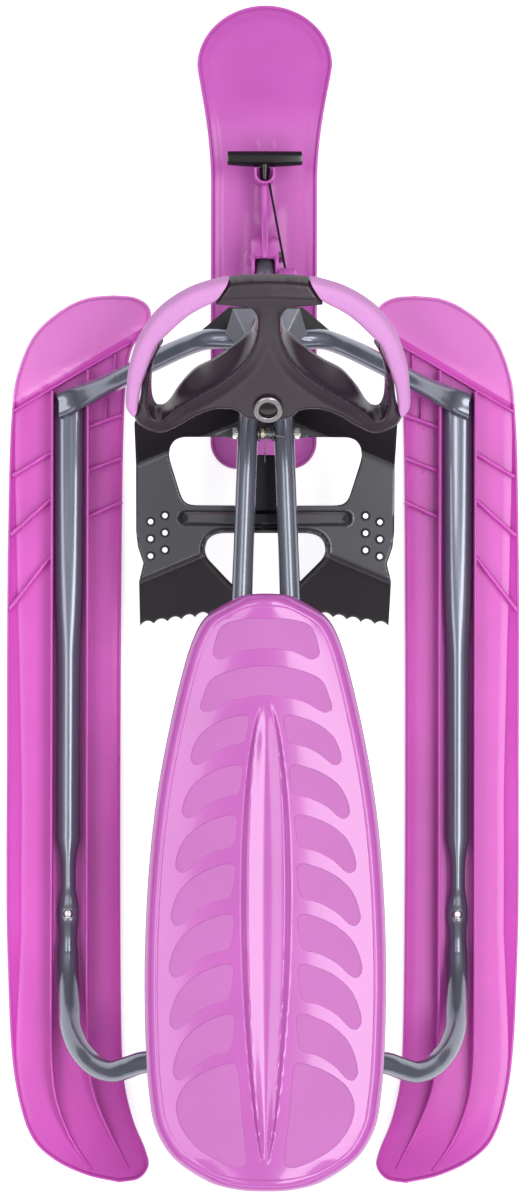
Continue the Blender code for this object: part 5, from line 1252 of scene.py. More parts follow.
@dataclass
class SteeringWheel:
    """The wheel: a black body with a hub, windows and lobes, two soft grips and a badge ring."""

    depth: float = 0.021
    face_drop: float = 0.0165
    bowl_power: float = 0.7
    bead: Pair = (0.0014, 0.0024)
    shoulder: Triple = (0.0024, 0.002, 0.016)
    bar_line: Triple = (0.1215, 0.04, 0.037)
    bar_fall: Pair = (0.005, 0.0145)
    bar_bead: Pair = (0.0007, 0.0016)
    bar_rounding: float = 0.0035
    bottom_rounding: float = 0.005
    grip_rounding: float = 0.0016
    crease: Triple = (0.00045, -0.1, 0.07)
    top_bar: Pairs = (
        (0.0, 0.1352), (0.012, 0.135), (0.024, 0.1343), (0.037, 0.1328), (0.0505, 0.114))
    window: Pairs = (
        (0.0505, 0.114), (0.035, 0.112), (0.02, 0.109), (0.013, 0.101), (0.0122, 0.09),
        (0.015, 0.078), (0.024, 0.068), (0.034, 0.058), (0.052, 0.044), (0.07, 0.033), (0.085, 0.014),
        (0.093, 0.0), (0.099, -0.006), (0.1055, -0.006), (0.1095, 0.002), (0.1105, 0.025),
        (0.1075, 0.048), (0.0985, 0.066))
    strip: Pairs = (
        (0.1045, 0.0655), (0.1122, 0.044), (0.119, 0.0225), (0.1228, -0.003), (0.128, -0.011))
    bottom: Pairs = (
        (0.128, -0.011), (0.1229, -0.0207), (0.103, -0.0296), (0.085, -0.022), (0.067, -0.01),
        (0.048, -0.003), (0.03, -0.005), (0.024, -0.011), (0.013, -0.015), (0.0, -0.0165))
    ridge: Pairs = (
        (0.06, 0.112), (0.035, 0.115), (0.018, 0.1105), (0.0118, 0.102), (0.0112, 0.09), (0.0136, 0.075),
        (0.0232, 0.0527), (0.0378, 0.036), (0.0596, 0.0193), (0.085, 0.0038), (0.095, -0.005),
        (0.101, -0.0105), (0.1085, -0.0095), (0.113, 0.002), (0.113, 0.025), (0.11, 0.048),
        (0.101, 0.07), (0.082, 0.096))
    grip_outer: Pairs = (
        (0.038, 0.1368), (0.048, 0.1345), (0.075, 0.1245), (0.1025, 0.104), (0.1205, 0.0768),
        (0.131, 0.045), (0.1345, 0.018), (0.1345, -0.002), (0.129, -0.011))
    grip_inner: Pairs = (
        (0.0513, 0.114), (0.0754, 0.0985), (0.0965, 0.077), (0.105, 0.067), (0.1132, 0.044),
        (0.12, 0.0225), (0.1238, -0.003))

    def place(self, across: Array, forward: Array, height: Array) -> Array:
        """Points of the wheel's plane: right, forward and up from its face."""
        return (HUB + across[..., None] * WHEEL_RIGHT + forward[..., None] * WHEEL_FORWARD
                + height[..., None] * WHEEL_FACE)

    def body(self) -> Item:
        """Build the black body.

        Its face is level in the hub. Between the ridge line and the window's edge it falls by the face
        drop with the share of the way from one to the other, and free edges fall as quarter circles.

        Returns:
            The body's object.
        """
        window = route(self.window, 150)[:-1]
        half = np.vstack((route(self.top_bar[:4], 30), self.top_bar[4:], window[1:], self.strip[:1],
                          route(self.strip, 40)[1:], route(self.bottom, 70)[1:]))
        outline = refined(mirrored_outline(half))
        plan, faces, edges = Stencil(outline, [], 0.0011).lay()
        side = np.column_stack((np.abs(plan[:, 0]), plan[:, 1]))
        ridge = route(self.ridge, 160, closed=True)
        to_ridge = gap_to(side, ridge)
        to_window = gap_to(side, window, closed=False)
        bowl = within(side, ridge)
        fall = np.where(bowl, to_ridge / np.maximum(to_ridge + to_window, 1e-9), 0.0)
        bowl_end, bead_end, shoulder_end = (ease((front - side[:, 1]) / length) for front, length in (
            (0.1145, 0.022), (0.112, 0.012), (0.112, 0.05)))
        height = -self.face_drop * fall ** self.bowl_power * bowl_end
        height += self.bead[0] * bell(to_ridge, self.bead[1]) * bead_end
        drop, start, width = self.shoulder
        height -= drop * ease((to_ridge - start) / width) * ~bowl * shoulder_end
        front = gap_to(side, route(self.top_bar[:4], 60), closed=False)
        bar_y, lean, bar_x = self.bar_line
        bar = side[:, 1] - bar_y - lean * (bar_x - side[:, 0])
        drop, width = self.bar_fall
        height -= np.where(bowl, 0.0, drop * np.maximum(0.0, bar / width)) + rounded_drop(front, self.bar_rounding)
        height += self.bar_bead[0] * bell(bar, self.bar_bead[1])
        height -= rounded_drop(gap_to(side, route(self.bottom, 120), closed=False), self.bottom_rounding)
        joined = np.minimum(gap_to(side, np.array(self.strip), closed=False),
                            gap_to(side, np.array(self.top_bar[3:]), closed=False))
        height -= rounded_drop(joined, self.grip_rounding)
        height = np.maximum(height, -self.depth + 0.0025)
        shell = Shell("wheel body")
        low = self.place(plan[:, 0], plan[:, 1], np.full(len(plan), -self.depth))
        add_stencil(shell, faces, edges, self.place(plan[:, 0], plan[:, 1], height), low)
        shell.turned(((0.0093, -0.017), (0.018, -0.017), (0.018, -0.0605), (0.0165, -0.062), (0.0093, -0.062)),
                     HUB, WHEEL_FACE)
        return shell.single(WHEEL_PLASTIC, "steering", 48.0)

    def grip(self, side: Side) -> Item:
        """Build a grip: rounded-box sections that reach from the inner to the outer outline, with a crease.

        Args:
            side: The rider's side.

        Returns:
            The grip's object.
        """
        count = 120
        outer, inner = route(self.grip_outer, count), route(self.grip_inner, count)
        centre, reach = (outer + inner) / 2, (outer - inner) / 2
        section = oval(1.0, 1.0, 40, 3.0)
        ends = np.concatenate(((0.0, 0.97, 0.995), np.ones(count - 6), (0.995, 0.97, 0.0)))
        centre[1], reach[1] = centre[0], reach[0]
        centre[-2], reach[-2] = centre[-1], reach[-1]
        flat = centre[:, None] + (ends[:, None] * section[None, :, 0])[..., None] * reach[:, None]
        flat[..., 0] *= -side.value
        depth, spot, width = self.crease
        crease = depth * bell(section[:, 0] - spot, width) * (section[:, 1] > 0)
        height = ends[:, None] * (section[None, :, 1] * self.depth / 2 - crease[None]) - self.depth / 2
        shell = Shell(f"grip {side.word}")
        shell.grid(self.place(flat[..., 0], flat[..., 1], height), columns_close=True)
        return shell.single(GRIP_RUBBER, "steering", 60.0)

    def badge(self) -> Item:
        """Build the badge: a ring with small bosses round a plain domed middle.

        Returns:
            The ring's object, with its dark middle as a second finish.
        """
        ring = Shell("hub ring")
        ring.turned(((0.0088, 0.0004), (0.0088, 0.002), (0.0094, 0.0024), (0.0126, 0.0024), (0.0138, 0.0016),
                     (0.0142, 0.0004)), HUB, WHEEL_FACE, 72)
        ring.turned(((0.0, 0.0004), (0.0086, 0.0004), (0.0086, 0.001), (0.007, 0.0016), (0.004, 0.002),
                     (0.0, 0.0021)), HUB, WHEEL_FACE, 48)
        for angle in np.linspace(0.0, TURN, 28, endpoint=False):
            spoke = math.cos(angle) * WHEEL_RIGHT + math.sin(angle) * WHEEL_FORWARD
            spot = HUB + 0.011 * spoke + WHEEL_FACE * 0.0022
            ring.turned(((0.0, 0.0007), (0.0006, 0.0005), (0.0008, 0.0), (0.0, 0.0)), spot, WHEEL_FACE, 8)
        badge = ring.piece(BADGE_METAL, "steering", ("hub_cap",), 30.0)
        reach = np.linalg.norm(np.cross(face_middles(badge) - HUB, WHEEL_FACE), axis=1)
        paint_faces(badge, HANDLE_PLASTIC, reach < 0.0087)
        return badge

    def build(self) -> list[Item]:
        """Build the wheel's pieces."""
        return [self.body(), self.grip(Side.LEFT), self.grip(Side.RIGHT), self.badge()]


@dataclass
class FrontSki:
    """The front ski: its moulded sheet and rim, the tower round the column's foot, the fin and the cup."""

    tip_half: float = 0.067
    tip_reach: float = 0.0548
    tip_centre: float = -0.5312
    half_width: float = 0.053
    waist: float = -0.415
    waist_power: float = 0.65
    tail: float = -0.131
    tail_corner: float = 0.027
    rise_start: float = -0.45
    rise: float = 0.078
    sheet: float = 0.005
    rim_height: float = 0.006
    edge_lift: float = 0.0012
    tower_inner: float = 0.01
    tower_sheet: float = 0.0035
    tower_reach: float = 0.0185
    tower_high: float = 0.086
    hood_reach: float = 0.037
    fin_sheet: float = 0.0062
    arm_radii: Pair = (0.012, 0.01)
    cowl: Pairs = (
        (-0.3612, 0.036), (-0.3606, 0.052), (-0.358, 0.068), (-0.352, 0.0785), (-0.344, 0.0845),
        (-0.3392, 0.0861))
    cup_y: float = -0.412
    cup_top: float = 0.063
    cup_wall: float = 0.0027
    rope_slot: Pair = (-0.0046, 0.0513)
    rope_slot_half: float = 0.0023

    def half(self, y: Array) -> Array:
        """Half width: an ellipse at the tip, an eased waist, then straight to a quarter-circle corner.

        Args:
            y: Places along the ski.

        Returns:
            The half widths.
        """
        ahead = np.minimum(0.0, y - self.tip_centre) / self.tip_reach
        tip = self.tip_half * np.sqrt(np.maximum(0.0, 1.0 - ahead ** 2))
        share = np.clip((y - self.tip_centre) / (self.waist - self.tip_centre), 0.0, 1.0) ** self.waist_power
        waist = self.tip_half + (self.half_width - self.tip_half) * ease(share)
        corner = self.tail - self.tail_corner
        past = np.maximum(0.0, y - corner)
        tail = np.sqrt(np.maximum(0.0, self.tail_corner ** 2 - past ** 2)) - self.tail_corner
        return np.where(y < self.tip_centre, tip, waist) + tail

    def floor(self, y: Array) -> Array:
        """Underside height: the rise times the share of the way to the tip, to the power 1.8."""
        span = self.tip_centre - self.tip_reach - self.rise_start
        return self.rise * np.maximum(0.0, (y - self.rise_start) / span) ** 1.8

    def _sheet(self, shell: Shell) -> None:
        """Add the sheet: a rounded rim, a shallow panel inside it, and moulded fillets round the fin.

        Args:
            shell: The ski's piece.
        """
        quarter = np.linspace(0.0, math.pi / 2, 60)
        tip = self.tip_centre - self.tip_reach * np.cos(quarter)
        tail = self.tail - self.tail_corner + self.tail_corner * np.sin(quarter[::3])
        places = np.concatenate((tip, np.linspace(self.tip_centre, self.tail - self.tail_corner, 130)[1:-1], tail))
        right = np.column_stack((self.half(places), places))
        across = np.linspace(1.0, -1.0, 14)[1:-1, None] * (self.half_width - self.tail_corner)
        flat = across * ACROSS[:2] + (0.0, self.tail)
        outline = np.vstack((right, flat, (right * (-1.0, 1.0))[::-1][:-1]))
        held = np.clip(outline[:, 1], self.tip_centre, self.tail - 0.03)
        spine = np.column_stack((np.zeros(len(outline)), held))
        depths = np.array((0.0, 0.0003, 0.0007, 0.0013, 0.0019, 0.0024, 0.0027, 0.0032, 0.0045, 0.007, 0.0085,
                           0.01, 0.0115, 0.013))
        plan = Ring(outline, spine, depths, 16).plan()
        rim = self.rim_height * np.array((0.66, 0.86, 0.96, 1.0, 1.0, 0.93, 0.75, 0.1, 0.0, 0.0, -0.05, -0.12,
                                          -0.18, -0.2))
        levels = np.concatenate((rim, np.full(16, rim[-1])))
        height = self.floor(plan[..., 1]) + self.sheet + levels[:, None] + self._fillets(plan)
        top = raised(plan, height)
        low_plan = np.concatenate((plan[:1], plan[2:3], plan[5:]))
        low = raised(low_plan, self.floor(low_plan[..., 1]))
        low[0, :, 2] += self.edge_lift
        shell.skin(top, low)

    def _fillets(self, plan: Array) -> Array:
        """Height of the fillets round the fin and the tower's box, and of the two ribs before the cup.

        Args:
            plan: Plan points, with X and Y in their last axis.

        Returns:
            The heights over the sheet.
        """
        x, y = np.abs(plan[..., 0]), plan[..., 1]
        fin_height, fin_width, box_height, box_width = 0.0032, 0.0055, 0.0012, 0.006
        rib_height, rib_x, rib_width = 0.0011, 0.0073, 0.0011
        fin = bell(x, fin_width) * ease((y + 0.42) / 0.01) * ease((-0.372 - y) / 0.01)
        box = np.hypot(np.maximum(0.0, x - 0.0135), np.maximum(0.0, np.abs(y + 0.349) - 0.038))
        ribs = rib_height * bell(x - rib_x, rib_width)
        ribs *= ease((y + 0.458) / 0.002) * ease((-0.4505 - y) / 0.002)
        return fin_height * fin + box_height * bell(box, box_width) + ribs

    def _tower(self, shell: Shell) -> None:
        """Add the tower: two cheeks with rounded edges, the front wall, its hood, the fin and the reel's arm.

        Args:
            shell: The ski's piece.
        """
        pivot = np.array(SKI_PIVOT)
        top = pivot + self.hood_reach * np.array((math.sin(RAKE), math.cos(RAKE)))
        foot, high = 0.003, self.tower_high
        wall = pivot[0] - self.tower_reach
        cheek = route(((wall - 0.001, foot), (wall - 0.001, 0.028), (wall + 0.001, 0.05),
                       (wall + 0.01, 0.068), (wall + 0.02, high - 0.002), (top[0] - 0.01, top[1] + 0.004),
                       (top[0] + 0.001, top[1] + 0.001), (top[0] + 0.004, top[1] - 0.006),
                       (pivot[0] + 0.02, pivot[1] + 0.004), (pivot[0] + 0.032, pivot[1] * 0.5),
                       (pivot[0] + 0.04, foot)), 110)
        middle = self.tower_inner + self.tower_sheet / 2
        for sign in (1.0, -1.0):
            shell.slab(cheek, self.tower_sheet, 0.0009, ACROSS * sign * middle, ALONG, UP)
        front = wall - self.tower_sheet
        self._cowl(shell)
        upright = refined(np.array(((wall, foot), (wall, 0.04), (front, 0.04), (front, foot))), 0.006)
        shell.slab(upright, 2 * self.tower_inner + self.tower_sheet, 0.0009, np.zeros(3), ALONG, UP)
        shell.turned(((0.0, 0.0064), (0.0035, 0.0062), (0.0064, 0.005), (0.0084, 0.0026), (0.009, 0.0),
                      (0.009, -0.0004), (0.008, -0.0004), (0.0076, 0.002), (0.0058, 0.004), (0.003, 0.005),
                      (0.0, 0.0052)), np.array((self.tower_inner + self.tower_sheet, *SKI_PIVOT)), ACROSS, 36)
        fin = route(((self.cup_y - 0.001, foot), (self.cup_y - 0.001, self.cup_top - 0.01),
                     (self.cup_y + 0.006, self.cup_top - 0.008), (self.cup_y + 0.03, self.cup_top - 0.004),
                     (front - 0.004, high - 0.014), (front + 0.008, high - 0.002), (front + 0.018, high + 0.003),
                     (front + 0.0245, high + 0.004), (front + 0.024, high - 0.001), (front + 0.01, high - 0.01),
                     (front + 0.003, 0.058), (front + 0.002, 0.03), (front + 0.002, foot)), 110)
        shell.slab(fin, self.fin_sheet, 0.002, np.zeros(3), ALONG, UP)
        circle, reel = arc(0.0, TURN, 60, closed=True), np.array(REEL_AXIS)
        way = (reel - pivot) / np.linalg.norm(reel - pivot)
        ahead = circle[:, :1] > 0
        arm = (np.where(ahead, reel, pivot) + np.where(ahead, self.arm_radii[1], self.arm_radii[0])
               * (circle[:, :1] * way + circle[:, 1:] * np.array((-way[1], way[0]))))
        shell.slab(arm, self.tower_sheet - 0.0006, 0.0008, -ACROSS * middle, ALONG, UP)

    def _cowl(self, shell: Shell) -> None:
        """Add the cowl that closes the tower in front of the column.

        Each ring is an arch over the middle line, as wide as the tower. Its middle follows the cowl's
        profile, and its sides fall below that by the share across to the power 2.6.

        Args:
            shell: The ski's piece.
        """
        profile = route([(0.0, *spot) for spot in self.cowl], 30)[:, None]
        across = np.linspace(-1.0, 1.0, 41)[None]
        half = self.tower_inner + self.tower_sheet
        top = profile[..., 2] - 0.0075 * np.abs(across) ** 2.6
        points = np.stack(np.broadcast_arrays(half * across, profile[..., 1], top), axis=-1)
        inner = points[:, ::-1] + (0.0, 0.0022, -0.0022)
        shell.grid(np.concatenate((points, inner), axis=1), columns_close=True)
        for ring in (0, -1):
            shell.cap(np.concatenate((points[ring], inner[ring])))

    def _cup(self, shell: Shell) -> None:
        """Add the handle's holder: an upright wall along a U that opens forward, with a slot for the rope.

        The wall is one sweep under the slot and one over it, and one on each side of it between them.

        Args:
            shell: The ski's piece.
        """
        middle = 0.00915
        centre = self.cup_y - 0.0105
        bend = (0.0, centre) + middle * arc(0.0, math.pi, 30)
        front = self.cup_y - 0.016
        plan = np.vstack(((middle, front), bend, (-middle, front)))
        (slot_x, slot_z), reach, lap = self.rope_slot, self.rope_slot_half, 1.2 * self.rope_slot_half
        half, beside = self.cup_wall / 2, self.cup_wall / 2 - 0.00004
        crown = half * (arc(0.0, math.pi, 7) - (0.0, 1.0))
        ends = np.array(((1.0, 0.0), (-1.0, 0.0)))
        bands = ((plan, 0.002, slot_z - reach, ends * half),
                 (plan[plan[:, 0] > slot_x + reach], slot_z - lap, slot_z + lap, ends * beside),
                 (plan[plan[:, 0] < slot_x - reach], slot_z - lap, slot_z + lap, ends * beside),
                 (plan, slot_z + reach, self.cup_top, crown))
        for line, low, high, top in bands:
            section = np.vstack((top[:1] * (1.0, 0.0), top + (0.0, high - low), top[-1:] * (1.0, 0.0)))
            shell.sweep(np.column_stack((line, np.full(len(line), low))), section, UP)

    def build(self) -> Item:
        """Build the ski.

        Returns:
            The ski's object.
        """
        shell = Shell("front ski")
        self._sheet(shell)
        self._tower(shell)
        self._cup(shell)
        return shell.single(FRONT_PLASTIC, "front_ski", 38.0)


@dataclass
class TowGear:
    """The pull handle, its rope and the reel that winds the rope."""

    handle_y: float = -0.4386
    handle_z: float = 0.0505
    handle_length: float = 0.0762
    handle_radius: float = 0.0078
    rope_front: Triple = (-0.0036, -0.4185, 0.0505)
    rope_rear: Triple = (-0.0261, -0.2965, 0.069)
    rope_radius: float = 0.0012

    def rope_at(self, y: Array) -> Array:
        """Points of the rope's straight line at places along the sled.

        Args:
            y: Places along the sled.

        Returns:
            The points.
        """
        front, rear = np.array(self.rope_front), np.array(self.rope_rear)
        share = (np.asarray(y, dtype=float) - front[1]) / (rear[1] - front[1])
        return front + share[..., None] * (rear - front)

    def handle(self) -> Item:
        """Build the T: a bar of rounded-box sections, thicker in its middle, with a neck back into the cup.

        Returns:
            The handle's object.
        """
        share = np.linspace(-1.0, 1.0, 61)
        bow, ends_y, thick, taper, tip_share, squareness, flatness = 0.0009, 0.0003, 1.02, 0.14, 0.06, 2.7, 0.93
        path = np.column_stack((share * self.handle_length / 2,
                                self.handle_y + ends_y + bow * (1.0 - np.abs(share) ** 2.0),
                                np.full(len(share), self.handle_z)))
        swell = thick - taper * np.abs(share) ** 2.0
        past = np.maximum(0.0, (np.abs(share) - (1.0 - tip_share)) / tip_share)
        tip = np.sqrt(np.maximum(0.02, 1.0 - past ** 4))
        section = oval(1.0, 1.0, 32, squareness)
        section[:, 1] *= flatness
        seam_height, seam_place, seam_width = 0.1, 0.35, 0.1
        section[:, 1] += seam_height * bell(section[:, 0] - seam_place, seam_width) * (section[:, 1] > 0)
        shapes = section[None] * (self.handle_radius * swell * tip)[:, None, None]
        shell = Shell("pull handle")
        shell.sweep(path, shapes, UP)
        shell.turned(((0.0, -0.003), (0.0066, -0.003), (0.0068, 0.002), (0.006, 0.009), (0.0052, 0.014),
                      (0.0042, 0.0215), (0.0036, 0.022), (0.0, 0.022)),
                     np.array((0.0, self.handle_y, self.handle_z)), ALONG, 32)
        return shell.piece(HANDLE_PLASTIC, "tow_handle", ("tow_handle",), 40.0)

    def rope(self) -> Item:
        """Build the rope from the neck into the reel, with a braid that follows its UV map.

        Returns:
            The rope's object.
        """
        bulge, winds, cover, neck_y = 0.05, 260.0, 0.96, -0.415
        path = self.rope_at(np.linspace(neck_y, self.rope_rear[1], 90))
        angle = np.linspace(0.0, TURN, 16, endpoint=False)
        run = np.linspace(0.0, 1.0, len(path))
        twist = 1.0 + bulge * np.sin(4 * angle[None] + winds * run[:, None])
        section = np.stack((np.cos(angle) * twist, np.sin(angle) * twist), axis=-1) * self.rope_radius * cover
        shell = Shell("tow rope")
        shell.sweep(path, section, UP, chart=(3.0, 1100.0))
        return shell.single(ROPE_BRAID, "tow_handle", 80.0)

    def housing(self) -> list[Item]:
        """Build the reel's two dished halves and its axle's head.

        Returns:
            The objects.
        """
        made = []
        origin = np.array((0.0, *REEL_AXIS))
        near, far, seam = 0.0142, 0.0305, 0.0172
        shapes = {
            "reel_housing": ((0.0025, near), (0.0025, near + 0.0018), (0.0232, near + 0.0018), (0.0232, seam),
                             (0.025, seam), (0.025, near + 0.0008), (0.0242, near)),
            "reel_cover": ((0.0025, far - 0.0018), (0.0025, far), (0.009, far), (0.01, far - 0.0006),
                           (0.0205, far - 0.0006), (0.0215, far), (0.0235, far), (0.0246, far - 0.0006),
                           (0.025, far - 0.0018), (0.025, seam + 0.0003), (0.0232, seam + 0.0003),
                           (0.0232, far - 0.0018)),
        }
        for name, profile in shapes.items():
            shell = Shell(name.replace("_", " "))
            shell.turned(profile, origin, -ACROSS, 72)
            made.append(shell.piece(FRONT_PLASTIC, "front_ski", (name,), 30.0))
        shell = Shell("reel axle")
        shell.turned(((0.0, far + 0.0025), (0.003, far + 0.0024), (0.0048, far + 0.0017), (0.0055, far + 0.0003),
                      (0.0022, far + 0.0003), (0.0022, 0.0108), (0.0, 0.0108)), origin, -ACROSS, 32)
        made.append(shell.single(BRIGHT_ZINC, "front_ski"))
        return made

    def build(self) -> list[Item]:
        """Build the handle, rope and reel."""
        return [self.handle(), self.rope(), *self.housing()]


@dataclass
class BrakePlate:
    """The foot brake: a folded steel plate with windows, a bead, raised holes and a toothed rear edge."""

    half_width: float = 0.126
    height: float = 0.135
    sheet: float = 0.0025
    front_slope: float = 0.7
    rear_slope: float = 1.2
    front_edge: float = -0.132
    rear_edge: float = -0.0165
    sweep: float = 0.42
    bead_radius: float = 0.008
    bead_y: float = -0.08
    bead_height: float = 0.0055
    bead_half: float = 0.086
    bead_side: float = 0.0042
    fold_radius: float = 0.004
    rim_rounding: float = 0.0012
    # Half width and the range along the sled of the tongue between the beams, painted near-black as the beams'
    # shadow.
    tongue_shade: Triple = (0.0175, -0.142, -0.066)
    hole_radius: float = 0.0027
    curl: Triple = (0.0022, 0.003, 0.0013)
    edge: Pairs = (
        (0.0, -0.1885), (0.104, -0.1885), (0.122, -0.184), (0.128, -0.172), (0.1265, -0.132), (0.1262, -0.067),
        (0.1245, -0.052), (0.119, -0.036), (0.1232, -0.018), (0.1228, 0.008))
    upper_window: Pairs = (
        (0.0, -0.157), (0.048, -0.1595), (0.0835, -0.159), (0.0915, -0.154), (0.0945, -0.144),
        (0.0935, -0.137), (0.0815, -0.099), (0.078, -0.0945), (0.072, -0.0928), (0.0185, -0.0925),
        (0.018, -0.142), (0.0, -0.142))
    lower_window: Pairs = (
        (0.0, -0.0655), (0.045, -0.0655), (0.055, -0.0615), (0.0592, -0.052), (0.058, -0.0425),
        (0.0343, -0.018), (0.014, -0.001), (0.0, 0.0))
    teeth: int = 9
    tooth_depth: float = 0.004

    def tooth_edge(self) -> Array:
        """The rear edge from left to middle: from corner to middle, less the depth of a half circle each pitch.

        Returns:
            The edge's plan points.
        """
        corner, middle = np.array((0.1225, 0.0258)), np.array((0.0, 0.0065))
        share = np.linspace(0.0, 1.0, self.teeth * 12 + 1)
        cup = np.abs(np.sin(share * self.teeth * math.pi)) ** 0.7
        points = corner + share[:, None] * (middle - corner)
        points[:, 1] -= cup * self.tooth_depth
        return points

    def fold_gap(self, x: Array, y: Array, edge: float) -> Array:
        """How far behind a fold line a place is: the line sweeps forward towards the middle."""
        return y - (edge - (self.half_width - np.abs(x)) * self.sweep)

    def surface(self, plan: Array) -> Array:
        """Underside height of the plate: level, rising before the front fold and falling past the rear one.

        Both folds are rounded: the slope times the root of distance and radius squared, less the radius.

        Args:
            plan: Plan points, one in each row.

        Returns:
            The heights.
        """
        x, y = plan[:, 0], plan[:, 1]
        radius = self.fold_radius
        before = np.maximum(0.0, radius - self.fold_gap(x, y, self.front_edge))
        after = np.maximum(0.0, radius + self.fold_gap(x, y, self.rear_edge))
        front = self.front_slope * (np.hypot(before, radius) - radius)
        rear = self.rear_slope * (np.hypot(after, radius) - radius)
        return self.height + front - rear

    def build(self) -> Item:
        """Build the plate.

        Returns:
            The plate's object.
        """
        outside = refined(mirrored_outline(np.vstack((self.edge, self.tooth_edge()))))
        windows = [softened(refined(mirrored_outline(line), 0.001), 6)
                   for line in (self.upper_window, self.lower_window)]
        circle = self.hole_radius * arc(0.0, TURN, 24, closed=True)
        spots = np.array([(sign * x, y + row * 0.0168) for row in range(3)
                          for x, y in ((0.098, -0.0825), (0.112, -0.0765)) for sign in (1.0, -1.0)])
        plan, faces, edges = Stencil(outside, windows + [spot + circle for spot in spots], 0.00115).lay()
        low = self.surface(plan)
        inner = self.bead_half - self.bead_radius
        away = np.hypot(np.maximum(0.0, np.abs(plan[:, 0]) - inner), plan[:, 1] - self.bead_y)
        bead = self.bead_height * ease((self.bead_radius - away) / self.bead_side)
        rim = np.minimum.reduce([gap_to(plan, line) for line in (outside, windows[0], windows[1])])
        top = low + self.sheet + bead - rounded_drop(rim, self.rim_rounding)
        lower = gap_to(plan, windows[1])
        curl = self.curl[0] * bell(lower - self.curl[1], self.curl[2])
        shell = Shell("brake plate")
        add_stencil(shell, faces, edges, raised(plan, top + curl), raised(plan, low))
        for spot in spots:
            shell.turned(((0.0026, -0.0022), (0.0026, 0.0014), (0.0031, 0.0022), (0.0038, 0.0016), (0.0044, 0.0004),
                          (0.0052, 0.0), (0.0052, -0.0006)), np.array((*spot, self.height + self.sheet - 0.0001)),
                         UP, 28)
        self._ears(shell)
        plate = shell.single(BRAKE_PAINT, "brake", 34.0)
        # The sloped flaps past the folds, the tongue between the beams and the bead's sloped round ends are painted
        # near-black: painted shade where the plate slopes away from the lamps and where the beams shade it.
        x, y, _ = face_middles(plate).T
        tongue_shade = (np.abs(x) < self.tongue_shade[0]) & (y > self.tongue_shade[1]) & (y < self.tongue_shade[2])
        flap_shade = (self.fold_gap(x, y, self.front_edge) < -0.001) | (self.fold_gap(x, y, self.rear_edge) > 0.0022)
        ends = np.hypot(np.abs(x) - self.bead_half + self.bead_radius * 0.85, y - self.bead_y) < 0.004
        paint_faces(plate, BRAKE_PAINTED_SHADE, tongue_shade | flap_shade | ends)
        return plate

    def _ears(self, shell: Shell) -> None:
        """Add the two ears that take the pivot bolt, each a plate with a round head.

        Args:
            shell: The plate's piece.
        """
        pivot = BRAKE_PIVOT[1:]
        head = pivot + 0.008 * arc(-0.35 * math.pi, 1.35 * math.pi, 22)
        foot = self.height + self.sheet / 2
        outline = np.vstack(((pivot[0] + 0.0045, foot), head, (pivot[0] - 0.013, foot)))
        for sign in (1.0, -1.0):
            shell.slab(refined(outline, 0.004), 0.0018, 0.0004, ACROSS * sign * 0.0062, ALONG, UP)


def hexagon_nut(shell: Shell, start: Array, axis: Array, height: float, radius: float, bore: float) -> None:
    """Add a hexagon nut with chamfered corners.

    The radius goes round as that of a hexagon, the flat's distance over the cosine of the angle from its
    middle, and the ends are turned down to the flats.

    Args:
        shell: The piece to add it to.
        start: Middle of its inner face.
        axis: Its unit direction.
        height: Its height.
        radius: Distance to its corners.
        bore: Radius of its bore.
    """
    angle = np.linspace(0.0, TURN, 48, endpoint=False)
    flat = radius * math.cos(math.pi / 6)
    corner = flat / np.cos((angle + math.pi / 6) % (math.pi / 3) - math.pi / 6)
    turned = np.minimum(corner, flat * 1.02)
    lid = 0.1 * height
    rings = [(bore, 0.0), (turned, 0.0), (corner, lid), (corner, height - lid), (turned, height),
             (bore + 0.0004, height), (bore, height - 0.0004)]
    spoke = spokes(axis, angle)
    points = np.stack([start + axis * level + np.broadcast_to(reach, angle.shape)[:, None] * spoke
                       for reach, level in rings])
    shell.grid(points, rows_close=True, columns_close=True)


def hexagon_bolt(shell: Shell, start: Array, end: Array, radius: float, head: float, height: float) -> None:
    """Add a bolt: a hexagon head beyond its start and a threaded shank to its end.

    Args:
        shell: The piece to add it to.
        start: Middle of the head's underside.
        end: Middle of the shank's end.
        radius: Shank radius.
        head: Distance to the head's corners.
        height: Head height.
    """
    axis = (end - start) / np.linalg.norm(end - start)
    length = float(np.linalg.norm(end - start))
    hexagon_nut(shell, start, -axis, height, head, 0.0004)
    steps = int(length / 0.0005)
    run = np.linspace(0.0, length, steps)
    depth = 0.00012 * (np.arange(steps) % 2) * (run > length * 0.7)
    shank = np.column_stack((radius - depth, run - 0.0003))[::-1]
    profile = np.vstack(((0.0, length), (radius - 0.0004, length), shank, (radius, -0.0005), (0.0, -0.0005)))
    shell.turned(profile, start, axis, 20)


